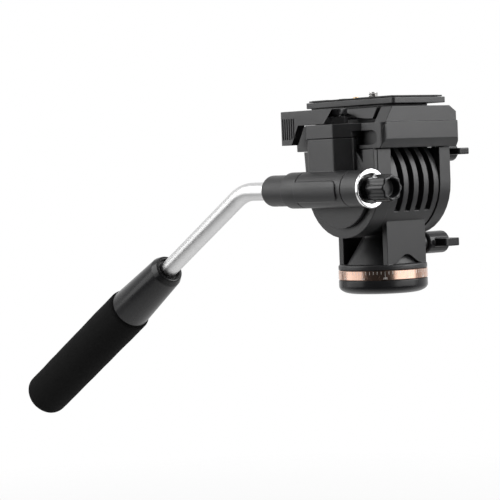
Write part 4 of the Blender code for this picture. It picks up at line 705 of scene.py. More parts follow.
def finish(name):
    """One of the head's materials, made the first time it is asked for."""
    made = bpy.data.materials.get(name)
    if made:
        return made
    look = bpy.context.scene.video_head_finishes
    makers = {
        "satin_casting": lambda: coated(
            name, look.casting, look.casting_roughness, 2600.0, 0.000022),
        "moulded_black": lambda: coated(
            name, look.gloss, look.gloss_roughness, 3800.0, 0.000003, edge_highlight=0.2, drift=0.06, sheen=0.35),
        "matt_moulding": lambda: coated(name, look.gloss, 0.42, 3000.0, 0.000016, edge_highlight=0.2),
        "plate_rubber": lambda: coated(name, look.rubber, 0.72, 2200.0, 0.00003, edge_highlight=0.1),
        "grip_foam": lambda: foam_material(name, look.foam),
        "copper_ring": lambda: turned_metal(
            name, look.copper, 0.22, lines=220.0, depth=0.000004, run=42.0, shade=0.84),
        "ring_print": lambda: printed_material(name, look.marks),
        "tube_metal": lambda: turned_metal(
            name, look.tube, 0.36, ALONG_GRIP, lines=1300.0, depth=0.0000005, shade=0.97),
        "bright_ring": lambda: turned_metal(
            name, look.chrome, 0.10, ALONG_BARREL, lines=6000.0, depth=0.000003, shade=0.95),
        "turned_steel": lambda: turned_metal(name, look.steel, 0.30),
        "turned_brass": lambda: turned_metal(name, look.brass, 0.28),
        "nylon": lambda: coated(name, look.nylon, 0.5, 2400.0, 0.00001, edge_highlight=0.0),
    }
    return makers[name]()


def tree_start(name, inputs):
    """A new geometry tree with its inputs and one geometry output."""
    tree = bpy.data.node_groups.new(name, 'GeometryNodeTree')
    for label, kind, default in inputs:
        group_socket(tree, label, kind, 'INPUT', default)
    group_socket(tree, "Geometry", "NodeSocketGeometry", 'OUTPUT')
    return tree, tree.nodes.new("NodeGroupInput").outputs, tree.nodes.new("NodeGroupOutput").inputs


def tree_end(tree, geometry, given, out):
    """Close a geometry tree: realise its instances and set their material."""
    real = linked(tree, "GeometryNodeRealizeInstances", {"Geometry": geometry})
    named = linked(tree, "GeometryNodeSetMaterial", {
        "Geometry": real.outputs[0], "Material": given["Material"]})
    tree.links.new(named.outputs[0], out["Geometry"])
    return tree


def ring_marks_tree():
    """Marks that stand round a ring, hanging from its upper edge."""
    tree, given, out = tree_start("ring_marks", [
        ("Count", "NodeSocketInt", 72), ("Radius", "NodeSocketFloat", 0.03),
        ("Top", "NodeSocketFloat", 0.0155), ("Length", "NodeSocketFloat", 0.002),
        ("Width", "NodeSocketFloat", 0.0002), ("Thickness", "NodeSocketFloat", 0.00006),
        ("Material", "NodeSocketMaterial", None)])
    circle = linked(tree, "GeometryNodeMeshCircle", {"Vertices": given["Count"], "Radius": given["Radius"]})
    drop = calculated(tree, 'MULTIPLY_ADD', given["Length"], -0.5, given["Top"])
    lift = linked(tree, "ShaderNodeCombineXYZ", {"Z": drop})
    raised = linked(tree, "GeometryNodeTransform", {
        "Geometry": circle.outputs[0], "Translation": lift.outputs[0]})
    size = linked(tree, "ShaderNodeCombineXYZ", {
        "X": given["Thickness"], "Y": given["Width"], "Z": given["Length"]})
    mark = linked(tree, "GeometryNodeMeshCube", {"Size": size.outputs[0]})
    place = tree.nodes.new("GeometryNodeInputPosition")
    flat = linked(tree, "ShaderNodeVectorMath", {0: place.outputs[0], 1: (1, 1, 0)}, operation='MULTIPLY')
    turn = linked(tree, "FunctionNodeAlignRotationToVector", {"Vector": flat.outputs[0]}, axis='X', pivot_axis='Z')
    marks = linked(tree, "GeometryNodeInstanceOnPoints", {
        "Points": raised.outputs[0], "Instance": mark.outputs[0], "Rotation": turn.outputs[0]})
    return tree_end(tree, marks.outputs[0], given, out)


def rib_row_tree():
    """A row of long ribs beside each other."""
    tree, given, out = tree_start("rib_row", [
        ("Count", "NodeSocketInt", 10), ("Start", "NodeSocketVector", None),
        ("Step", "NodeSocketVector", None), ("Size", "NodeSocketVector", None),
        ("Material", "NodeSocketMaterial", None)])
    line = linked(tree, "GeometryNodeMeshLine", {
        "Count": given["Count"], "Start Location": given["Start"], "Offset": given["Step"]})
    rib = linked(tree, "GeometryNodeMeshCube", {"Size": given["Size"]})
    ribs = linked(tree, "GeometryNodeInstanceOnPoints", {
        "Points": line.outputs[0], "Instance": rib.outputs[0]})
    return tree_end(tree, ribs.outputs[0], given, out)


def socket_screws_tree():
    """Cap screws with a hexagon socket, one on each point of the object that carries the tree."""
    tree, given, out = tree_start("socket_screws", [
        ("Points", "NodeSocketGeometry", None), ("Head radius", "NodeSocketFloat", 0.0028),
        ("Head height", "NodeSocketFloat", 0.002), ("Shank radius", "NodeSocketFloat", 0.0015),
        ("Length", "NodeSocketFloat", 0.01), ("Socket radius", "NodeSocketFloat", 0.0015),
        ("Turn", "NodeSocketRotation", None), ("Material", "NodeSocketMaterial", None)])
    head = linked(tree, "GeometryNodeMeshCylinder", {
        "Vertices": 32, "Radius": given["Head radius"], "Depth": given["Head height"]})
    head_down = linked(tree, "ShaderNodeCombineXYZ", {"Z": calculated(tree, 'MULTIPLY', given["Head height"], -0.5)})
    head_at = linked(tree, "GeometryNodeTransform", {
        "Geometry": head.outputs["Mesh"], "Translation": head_down.outputs[0]})
    hollow = linked(tree, "GeometryNodeMeshCylinder", {
        "Vertices": 6, "Radius": given["Socket radius"], "Depth": given["Head height"]})
    sunk = linked(tree, "GeometryNodeMeshBoolean", {"Mesh 1": head_at.outputs[0]}, operation='DIFFERENCE')
    tree.links.new(hollow.outputs["Mesh"], sunk.inputs["Mesh 2"])
    shank = linked(tree, "GeometryNodeMeshCylinder", {
        "Vertices": 24, "Radius": given["Shank radius"],
        "Depth": calculated(tree, 'SUBTRACT', given["Length"], given["Head height"])})
    half = calculated(tree, 'MULTIPLY', calculated(tree, 'ADD', given["Length"], given["Head height"]), -0.5)
    shank_down = linked(tree, "ShaderNodeCombineXYZ", {"Z": half})
    shank_at = linked(tree, "GeometryNodeTransform", {
        "Geometry": shank.outputs["Mesh"], "Translation": shank_down.outputs[0]})
    whole = tree.nodes.new("GeometryNodeJoinGeometry")
    tree.links.new(sunk.outputs["Mesh"], whole.inputs[0])
    tree.links.new(shank_at.outputs[0], whole.inputs[0])
    screws = linked(tree, "GeometryNodeInstanceOnPoints", {
        "Points": given["Points"], "Instance": whole.outputs[0], "Rotation": given["Turn"]})
    return tree_end(tree, screws.outputs[0], given, out)


TREE_MAKERS = {
    "ring_marks": ring_marks_tree,
    "rib_row": rib_row_tree,
    "socket_screws": socket_screws_tree,
}


def grown(name, tree_name, points=(), **inputs):
    """A plain object grown from a geometry tree, whose inputs are set by their identifiers."""
    tree = bpy.data.node_groups.get(tree_name) or TREE_MAKERS[tree_name]()
    mesh = bpy.data.meshes.new(name)
    mesh.from_pydata([tuple(point) for point in points] or [(0, 0, 0)], [], [])
    obj = add_object(name, mesh)
    modifier = obj.modifiers.new("grow", 'NODES')
    modifier.node_group = tree
    sockets = {item.name: item.identifier for item in tree.interface.items_tree if item.in_out == 'INPUT'}
    for key, value in inputs.items():
        modifier[sockets[key.replace("_", " ")]] = value
    return plain_mesh(obj)


class VIDEOHEAD_OT_base(bpy.types.Operator):
    """Make the base cup, the degree ring with its marks, the threaded bush and the base's screws"""

    bl_idname = "video_head.base"
    bl_label = "Base and degree ring"

    def execute(self, context):
        sizes = context.scene.video_head_sizes
        self.make_cup()
        self.make_ring(sizes)
        self.make_marks(sizes)
        self.make_bush(sizes)
        self.make_screws()
        return {'FINISHED'}

    def make_cup(self):
        """The cup: a rounded underside, an upright side, a shoulder under the ring, and a spigot."""
        radius = CUP_HIGH.x
        shoulder = RING_LOW.z - 0.0003
        spigot = RING_HIGH.x - 0.0038
        wall = spigot - 0.0027
        profile = [(wall, CUP_HIGH.z), (spigot, CUP_HIGH.z)]
        profile += softened([(spigot, CUP_HIGH.z, 0), (spigot, shoulder, 0.0004), (radius, shoulder, 0.0005),
                             (radius, 0.006, 0)], 4)[1:]
        for across, up in arc((0, 0), 1, 0, -QUARTER, 16):
            profile.append((radius - 0.0095 + 0.0095 * across, 0.0052 + 0.0052 * up))
        profile += [(0.0087, 0), (0.0083, 0.0004), (0.0083, 0.006), (wall, 0.006)]
        cup = turned("base_shell", profile, 128)
        for index in (1, 2, 3):
            low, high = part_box(f"spindle_screw_{index}")
            x, y = (low.x + high.x) / 2, (low.y + high.y) / 2
            place = Matrix.Translation((x, y, 0))
            cut_with(cup, turned("sink", [(0, -0.001), (0.0031, -0.001), (0.0031, 0.0026), (0, 0.0026)], 32, place))
            cut_with(cup, turned("hole", [(0, 0.002), (0.0018, 0.002), (0.0018, 0.008), (0, 0.008)], 24, place))
        settle(cup, finish("moulded_black"), "base", ["base_cup"], smooth=30)

    def make_ring(self, sizes):
        """The copper ring with bright chamfers."""
        edge = sizes.ring_edge
        inner = RING_HIGH.x - 0.0035
        ring = turned("copper_degree_ring", [
            (inner, RING_HIGH.z), (RING_HIGH.x - edge, RING_HIGH.z), (RING_HIGH.x, RING_HIGH.z - edge),
            (RING_HIGH.x, RING_LOW.z + edge), (RING_HIGH.x - edge, RING_LOW.z), (inner, RING_LOW.z)], 160)
        settle(ring, finish("copper_ring"), "base", ["degree_ring"], smooth=30)

    def make_marks(self, sizes):
        """Short and long marks round the ring, and the plain numbers of the long ones."""
        ink = finish("ring_print")
        top = RING_HIGH.z - sizes.ring_edge - 0.0001
        thin = 0.00008
        short = grown(
            "short_marks", "ring_marks", Count=sizes.mark_count, Radius=RING_HIGH.x, Top=top,
            Length=sizes.mark_length, Width=sizes.mark_width, Thickness=thin, Material=ink)
        long = grown(
            "long_marks", "ring_marks", Count=sizes.number_count, Radius=RING_HIGH.x, Top=top,
            Length=sizes.long_mark_length, Width=sizes.mark_width * 1.2, Thickness=thin, Material=ink)
        for marks in (short, long):
            marks.data.transform(Matrix.Rotation(sizes.number_turn, 4, 'Z'))
        settle(joined("ring_marks", [short, long]), ink, "base")
        step = FULL_TURN / sizes.number_count
        numbers = []
        for index in range(sizes.number_count):
            degrees = round(math.degrees(step * index))
            value = (180 + degrees) % 360
            turn = sizes.number_turn + step * index
            numbers.append(self.number(str(value), turn, sizes.number_height, top - sizes.long_mark_length))
        settle(joined("ring_numbers", numbers), ink, "base")

    def number(self, digits, turn, height, top):
        """One plain number bent round the ring under its mark."""
        curve = bpy.data.curves.new("number", 'FONT')
        curve.body = digits
        curve.size = height * 1.35
        curve.align_x = 'CENTER'
        curve.extrude = 0.00004
        curve.resolution_u = 3
        drawn = add_object("number", curve)
        depsgraph = bpy.context.evaluated_depsgraph_get()
        mesh = bpy.data.meshes.new_from_object(drawn.evaluated_get(depsgraph))
        bpy.data.objects.remove(drawn, do_unlink=True)
        for vert in mesh.vertices:
            across, up, out = vert.co
            angle = turn + across / RING_HIGH.x
            radius = RING_HIGH.x + out
            low = top - 0.0003 - height
            vert.co = (radius * math.cos(angle), radius * math.sin(angle), low + up)
        return add_object("number", mesh)

    def make_bush(self, sizes):
        """The brass bush with its tripod thread."""
        radius = BUSH_HIGH.x
        bush = threaded(
            "threaded_tripod_bush", 0.00476, 0.0008, sizes.tripod_thread_pitch, BUSH_LOW.z, BUSH_HIGH.z, radius)
        settle(bush, finish("turned_brass"), "base", ["tripod_bush"], smooth=50)

    def make_screws(self):
        """The three screws under the base."""
        nodes = [f"spindle_screw_{index}" for index in (1, 2, 3)]
        boxes = [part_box(node) for node in nodes]
        points = [((low.x + high.x) / 2, (low.y + high.y) / 2, low.z) for low, high in boxes]
        low, high = boxes[0]
        screws = grown(
            "base_screws", "socket_screws", points, Head_radius=0.0028, Head_height=0.002,
            Shank_radius=0.0015, Length=high.z - low.z, Socket_radius=0.0014,
            Turn=(2 * QUARTER, 0, 0), Material=finish("turned_steel"))
        settle(screws, finish("turned_steel"), "base", nodes, edge=0.00018, segments=2)


class VIDEOHEAD_OT_housing(bpy.types.Operator):
    """Make the pan housing with its collar, open neck and slotted drum"""

    bl_idname = "video_head.housing"
    bl_label = "Pan housing"

    def execute(self, context):
        sizes = context.scene.video_head_sizes
        housing = cad_copy("slotted_pan_housing", "pan_housing")
        settle(housing, finish("satin_casting"), "pan_head", ["pan_housing"],
               edge=sizes.casting_edge)
        return {'FINISHED'}


class VIDEOHEAD_OT_locks(bpy.types.Operator):
    """Make the winged pan lock and tilt lock knobs"""

    bl_idname = "video_head.locks"
    bl_label = "Locks"

    def execute(self, context):
        sizes = context.scene.video_head_sizes
        for name, node, body in (
                ("winged_pan_lock", "pan_lock_knob", "pan_lock"),
                ("winged_tilt_lock", "tilt_lock_knob", "tilt_lock")):
            knob = moulded(cad_copy(name, node), sizes.moulding_grid, sizes.moulding_rounds)
            settle(knob, finish("moulded_black"), body, [node], smooth=60)
        return {'FINISHED'}


class VIDEOHEAD_OT_yoke(bpy.types.Operator):
    """Make the two yoke arms and the cap over the right axle screw"""

    bl_idname = "video_head.yoke"
    bl_label = "Yoke"

    def execute(self, context):
        sizes = context.scene.video_head_sizes
        for side in ("left", "right"):
            arm = cad_copy(f"{side}_arm_casting", f"{side}_yoke_arm")
            settle(arm, finish("satin_casting"), "tilt_head", [f"{side}_yoke_arm"],
                   edge=sizes.casting_edge)
        low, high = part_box("right_axle_cap")
        centre = ((low.y + high.y) / 2, (low.z + high.z) / 2)
        place = Matrix.Translation((0, *centre)) @ Matrix.Rotation(-QUARTER, 4, 'Y')
        radius = (high.y - low.y) / 2
        cap = turned("domed_axle_cap", [
            (0, -high.x)] + softened([(radius, -high.x, 0), (radius, -low.x, 0.0009), (0, -low.x, 0)], 5)
            + [(0, -low.x)], 96, place)
        settle(cap, finish("matt_moulding"), "tilt_head", ["right_axle_cap"], smooth=30)
        return {'FINISHED'}


class VIDEOHEAD_OT_platform(bpy.types.Operator):
    """Make the platform with its stop and rail, and the four screws that hold it"""

    bl_idname = "video_head.platform"
    bl_label = "Platform"

    def execute(self, context):
        sizes = context.scene.video_head_sizes
        platform = cad_copy("platform_casting", "platform")
        settle(platform, finish("satin_casting"), "tilt_head", ["platform"],
               edge=sizes.casting_edge)
        nodes = [f"platform_screw_{index}" for index in (1, 2, 3, 4)]
        boxes = [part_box(node) for node in nodes]
        points = [((low.x + high.x) / 2, (low.y + high.y) / 2, high.z) for low, high in boxes]
        low, high = boxes[0]
        screws = grown(
            "platform_screws", "socket_screws", points, Head_radius=0.0028, Head_height=0.002,
            Shank_radius=0.0015, Length=high.z - low.z, Socket_radius=0.0014, Turn=(0, 0, 0),
            Material=finish("turned_steel"))
        settle(screws, finish("turned_steel"), "tilt_head", nodes, edge=0.00018, segments=2)
        return {'FINISHED'}


class VIDEOHEAD_OT_camera_plate(bpy.types.Operator):
    """Make the camera plate, its ribbed rubber pad, the threaded camera screw and the video pin"""

    bl_idname = "video_head.camera_plate"
    bl_label = "Camera plate"

    def execute(self, context):
        sizes = context.scene.video_head_sizes
        plate = cad_copy("dovetail_camera_plate", "quick_release_plate")
        settle(plate, finish("satin_casting"), "tilt_head", ["quick_release_plate"],
               edge=sizes.casting_edge)
        self.make_pad(sizes)
        self.make_screw(sizes)
        self.make_pin()
        return {'FINISHED'}

    def make_pad(self, sizes):
        """The pad, with ribs across it that stay clear of the screw and the pin."""
        rubber = finish("plate_rubber")
        pad = cad_copy("rubber_pad", "plate_pad")
        half = PAD_HIGH.x - 0.0014
        rows = []
        screw_y = (SCREW_LOW.y + SCREW_HIGH.y) / 2
        pin_y = (PIN_LOW.y + PIN_HIGH.y) / 2
        count = int((PAD_HIGH.y - PAD_LOW.y - 0.004) / sizes.rib_pitch)
        start = PAD_LOW.y + 0.002 + sizes.rib_pitch / 2
        clear = 0.0052
        runs = [[]]
        for index in range(count):
            y = start + index * sizes.rib_pitch
            if min(abs(y - screw_y), abs(y - pin_y)) < clear:
                if runs[-1]:
                    runs.append([])
                continue
            runs[-1].append(y)
        size = (2 * half, sizes.rib_pitch * 0.5, sizes.rib_height * 2)
        for run in runs:
            if run:
                rows.append(grown(
                    "ribs", "rib_row", Count=len(run), Start=(0, run[0], PAD_HIGH.z),
                    Step=(0, sizes.rib_pitch, 0), Size=size, Material=rubber))
        settle(joined("pad_ribs", rows), rubber, "tilt_head", edge=0.00008, segments=2)
        settle(pad, rubber, "tilt_head", ["plate_pad"], edge=0.0002, segments=2)

    def make_screw(self, sizes):
        """The camera screw: thread above its head, and a coin slot below."""
        y = (SCREW_LOW.y + SCREW_HIGH.y) / 2
        place = Matrix.Translation((0, y, 0))
        head_radius = (SCREW_HIGH.x - SCREW_LOW.x) / 2
        head_low = SCREW_LOW.z
        head_top = head_low + 0.0028
        thread = threaded(
            "thread", 0.003175, 0.0007, sizes.camera_thread_pitch, head_top - 0.0003, SCREW_HIGH.z, place=place)
        head = turned("head", [(0, head_low)] + softened([
            (head_radius, head_low, 0.0003), (head_radius, head_top, 0.0003), (0, head_top, 0)], 3)
            + [(0, head_top)], 64, place)
        slot = bmesh.new()
        bmesh.ops.create_cube(slot, size=1)
        bmesh.ops.scale(slot, verts=slot.verts, vec=(0.02, 0.0014, 0.0028))
        cut_with(head, object_from("slot", slot, Matrix.Translation((0, y, head_low))))
        bolt = joined("threaded_camera_screw", [thread, head])
        settle(bolt, finish("turned_steel"), "camera_screw", ["camera_screw"], smooth=50)

    def make_pin(self):
        """The video pin with its domed tip and flange."""
        place = Matrix.Translation((0, (PIN_LOW.y + PIN_HIGH.y) / 2, 0))
        flange = (PIN_HIGH.x - PIN_LOW.x) / 2
        low, high = PIN_LOW.z, PIN_HIGH.z
        top = low + 0.0008
        profile = [(0, low), (flange, low), (flange, top), (0.0019, top)]
        profile += softened([(0.0019, top, 0), (0.0019, high, 0.0007), (0, high, 0)], 5)[1:] + [(0, high)]
        pin = turned("domed_video_pin", profile, 48, place)
        settle(pin, finish("turned_brass"), "video_pin", ["video_pin"], smooth=30)
        spring = cad_copy("pin_spring_coil", "video_pin_spring")
        settle(spring, finish("turned_steel"), "tilt_head", ["video_pin_spring"], smooth=60)
        low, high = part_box("video_pin_spring")
        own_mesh(spring)


class VIDEOHEAD_OT_clamp(bpy.types.Operator):
    """Make the plate's jaw, its lever with the grooved thumb pad, and the pivot cap"""

    bl_idname = "video_head.clamp"
    bl_label = "Plate clamp"

    def execute(self, context):
        sizes = context.scene.video_head_sizes
        jaw = cad_copy("clamp_jaw", "plate_jaw")
        settle(jaw, finish("satin_casting"), "jaw", ["plate_jaw"], edge=sizes.casting_edge)
        x, y = (CAP_LOW.x + CAP_HIGH.x) / 2, (CAP_LOW.y + CAP_HIGH.y) / 2
        radius = (CAP_HIGH.x - CAP_LOW.x) / 2
        top, low = CAP_HIGH.z, CAP_LOW.z
        skirt = top - 0.0041
        lever = cad_copy("clamp_lever", "plate_lever")
        hub_top = skirt - 0.0013
        slanted = [(-0.0002, hub_top), (0.0055, top + 0.001), (0.02, top + 0.001), (0.02, hub_top)]
        cut_with(lever, slab_along_x("front", slanted, x - 0.01, x + 0.012))
        settle(lever, finish("satin_casting"), "lever", ["plate_lever"],
               edge=sizes.casting_edge * 0.5)
        profile = [(0, low), (0.0032, low), (0.0032, skirt - 0.0013), (0.005, skirt - 0.0013), (0.005, skirt)]
        profile += softened([(0.005, skirt, 0), (radius, skirt, 0.0003), (radius, top, 0.0009),
                             (0.0030, top, 0.0004), (0.0026, top - 0.0006, 0.0003), (0, top - 0.0006, 0)], 5)[1:]
        profile.append((0, top - 0.0006))
        cap = turned("pivot_cap_turned", profile, 96, Matrix.Translation((x, y, 0)))
        settle(cap, finish("moulded_black"), "lever", ["pivot_cap"], smooth=30)
        return {'FINISHED'}


class VIDEOHEAD_OT_handle_mount(bpy.types.Operator):
    """Make the handle mount, the sleeve before it, the bright ring and the lobed knob"""

    bl_idname = "video_head.handle_mount"
    bl_label = "Handle mount"

    def execute(self, context):
        sizes = context.scene.video_head_sizes
        mount = cad_copy("handle_mount_casting", "handle_mount")
        settle(mount, finish("satin_casting"), "tilt_head", ["handle_mount"],
               edge=sizes.casting_edge)
        sleeve = cad_copy("barrel_front_sleeve", "front_sleeve")
        settle(sleeve, finish("satin_casting"), "tilt_head", ["front_sleeve"],
               edge=sizes.casting_edge)
        self.make_bright_ring()
        self.make_knob()
        return {'FINISHED'}

    def make_bright_ring(self):
        """The polished ring behind the knob."""
        radius = (CHROME_HIGH.x - CHROME_LOW.x) / 2
        inner, low, high = 0.0098, CHROME_LOW.y, CHROME_HIGH.y
        ring = turned("polished_ring", softened([
            (inner, low, 0.0003), (radius, low, 0.0007), (radius, high, 0.0007), (inner, high, 0.0004)], 5),
            128, ALONG_BARREL)
        settle(ring, finish("bright_ring"), "tilt_head", ["rosette_ring"], smooth=30)

    def make_knob(self):
        """The knob with eight lobes, a rounded rim and a deep dish."""
        radius, neck, bore = (KNOB_HIGH.x - KNOB_LOW.x) / 2, 0.0075, 0.0058
        near, end = KNOB_LOW.y, KNOB_HIGH.y
        start, dish, seat = near + 0.0052, end - 0.0055, near + 0.0103
        outer = softened([
            (neck, start, 0), (radius, start, 0.0010), (radius, end, 0.0013), (0.0062, end, 0.0009),
            (0.0058, dish, 0.0008), (0, dish, 0)], 5)
        profile = [(0, seat), (bore, seat), (bore, near), (neck, near)]
        profile += [(across, up, min(1, max(0, (across - 0.0066) / 0.0012))) for across, up in outer]
        knob = turned("lobed_knob", profile, 192, ALONG_BARREL, 8, 0.0011)
        settle(knob, finish("moulded_black"), "handle_knob", ["handle_knob"], smooth=36)


class VIDEOHEAD_OT_handle(bpy.types.Operator):
    """Make the socket, the bent tube and the grip with its glossy sleeve and foam"""

    bl_idname = "video_head.handle"
    bl_label = "Handle and grip"

    def execute(self, context):
        sizes = context.scene.video_head_sizes
        self.make_socket()
        self.make_tube()
        self.make_sleeve()
        self.make_foam(sizes)
        return {'FINISHED'}

    def make_socket(self):
        """The socket that the tube is clamped in, with the hole of its clamp screw below."""
        radius = (SOCKET_HIGH.x - SOCKET_LOW.x) / 2
        front, rear = SOCKET_HIGH.y, SOCKET_LOW.y
        bore = 0.00655
        profile = softened([
            (0.0043, front, 0), (radius, front, 0.0005), (radius, -0.0353, 0.0008), (0.0106, -0.0353, 0.0003),
            (0.0106, rear, 0.0040), (bore, rear, 0.0003), (bore, -0.0397, 0), (0.0043, -0.0397, 0)], 8)
        socket = turned("tube_socket", profile, 128, ALONG_BARREL)
        low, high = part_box("clamp_screw")
        place = Matrix.Translation((BARREL_X, (low.y + high.y) / 2, low.z))
        cut_with(socket, turned("hole", [(0, -0.002), (0.0018, -0.002), (0.0018, 0.006), (0, 0.006)], 24, place))
        settle(socket, finish("satin_casting"), "handle", ["handle_socket"], smooth=32)

    def tube_path(self):
        """The tube's middle line as points and directions."""
        lead = ELBOW_BEND * math.tan(DROOP / 2)
        points = [(Vector((BARREL_X, TUBE_HIGH.y, BARREL_Z)), 0.0)]
        centre = Vector((BARREL_X, ELBOW.y + lead, BARREL_Z - ELBOW_BEND))
        for step in range(25):
            turn = DROOP * step / 24
            points.append((centre + ELBOW_BEND * Vector((0, -math.sin(turn), math.cos(turn))), turn))
        far = ELBOW + TUBE_FAR * Vector((0, -math.cos(DROOP), -math.sin(DROOP)))
        bend_end = points[-1][0]
        points += [(bend_end.lerp(far, step / 40), DROOP) for step in range(1, 41)]
        return points

    def make_tube(self):
        """The bent tube with its bore."""
        bm = bmesh.new()
        steps = 64
        loops = []
        radius, bore = 0.00625, 0.00505
        path = self.tube_path()
        for across, line in ((radius, path), (bore, path[::-1])):
            for point, turn in line:
                up = Vector((0, -math.sin(turn), math.cos(turn)))
                ring = []
                for step in range(steps):
                    angle = FULL_TURN * step / steps
                    ring.append(bm.verts.new(
                        point + across * (math.cos(angle) * Vector((1, 0, 0)) + math.sin(angle) * up)))
                loops.append(ring)
        for first, second in zip(loops, loops[1:] + loops[:1]):
            for step in range(steps):
                after = (step + 1) % steps
                bm.faces.new((first[step], first[after], second[after], second[step]))
        tube = object_from("bent_tube", bm)
        settle(tube, finish("tube_metal"), "handle", ["handle_tube"], smooth=32)

    def make_sleeve(self):
        """The glossy tapered sleeve with a recessed mouth round the tube."""
        bore, mouth = 0.00655, SLEEVE_NEAR + 0.003
        profile = softened([
            (bore, mouth, 0), (0.0084, mouth, 0.0002), (0.0084, SLEEVE_NEAR, 0.0004),
            (0.0105, SLEEVE_NEAR, 0.0012), (0.0124, SLEEVE_NEAR + 0.0045, 0.0030),
            (0.0152, SLEEVE_FAR, 0.0006), (bore, SLEEVE_FAR, 0)], 6)
        sleeve = turned("glossy_sleeve", profile, 128, ALONG_GRIP)
        settle(sleeve, finish("moulded_black"), "handle", ["grip_sleeve"], smooth=32)

    def make_foam(self, sizes):
        """The foam: a soft sleeve with rounded shoulders and a slightly wandering skin."""
        radius, room = 0.01675, 0.0118
        start, end, floor = SLEEVE_FAR + CLEAR, FOAM_FAR, CORE_FAR + CLEAR
        outline = softened([
            (room, start, 0), (radius, start, 0.0024), (radius, end, 0.0072), (0, end, 0)], 9)
        profile = [(0, floor), (room, floor)]
        for first, second in zip(outline, outline[1:]):
            parts = max(1, round((Vector(second) - Vector(first)).length / 0.0022))
            profile += [tuple(Vector(first).lerp(Vector(second), part / parts)) for part in range(parts)]
        foam = turned("foam_grip_sleeve", profile + [(0, end)], 96)
        for vert in foam.data.vertices:
            flat = Vector((vert.co.x, vert.co.y, 0))
            if flat.length < 0.0125:
                continue
            drift = noise.noise(vert.co * 55) + 0.4 * noise.noise(vert.co * 160)
            vert.co += flat.normalized() * (drift - 0.4) * sizes.foam_unevenness
        foam.data.transform(ALONG_GRIP)
        settle(foam, finish("grip_foam"), "handle", ["foam_grip"], smooth=60)


class VIDEOHEAD_OT_hardware(bpy.types.Operator):
    """Give every CAD node that stays in view, inside the head and out, its finish"""

    bl_idname = "video_head.hardware"
    bl_label = "Inner hardware"

    finishes = {
        "black_casting": "satin_casting", "black_gloss": "moulded_black", "black_plastic": "matt_moulding",
        "foam": "grip_foam", "rubber_pad": "plate_rubber", "copper": "copper_ring", "brass": "turned_brass",
        "chrome": "bright_ring", "steel": "turned_steel", "aluminium": "tube_metal", "nylon": "nylon",
    }

    def execute(self, context):
        for part in frame["record"]["subparts"]:
            obj = frame["nodes"][part["node"]]
            if obj.hide_render:
                continue
            material = finish(self.finishes[part["material_slot"]])
            for slot in obj.material_slots:
                slot.material = material
            if not obj.material_slots:
                obj.data.materials.append(material)
        return {'FINISHED'}


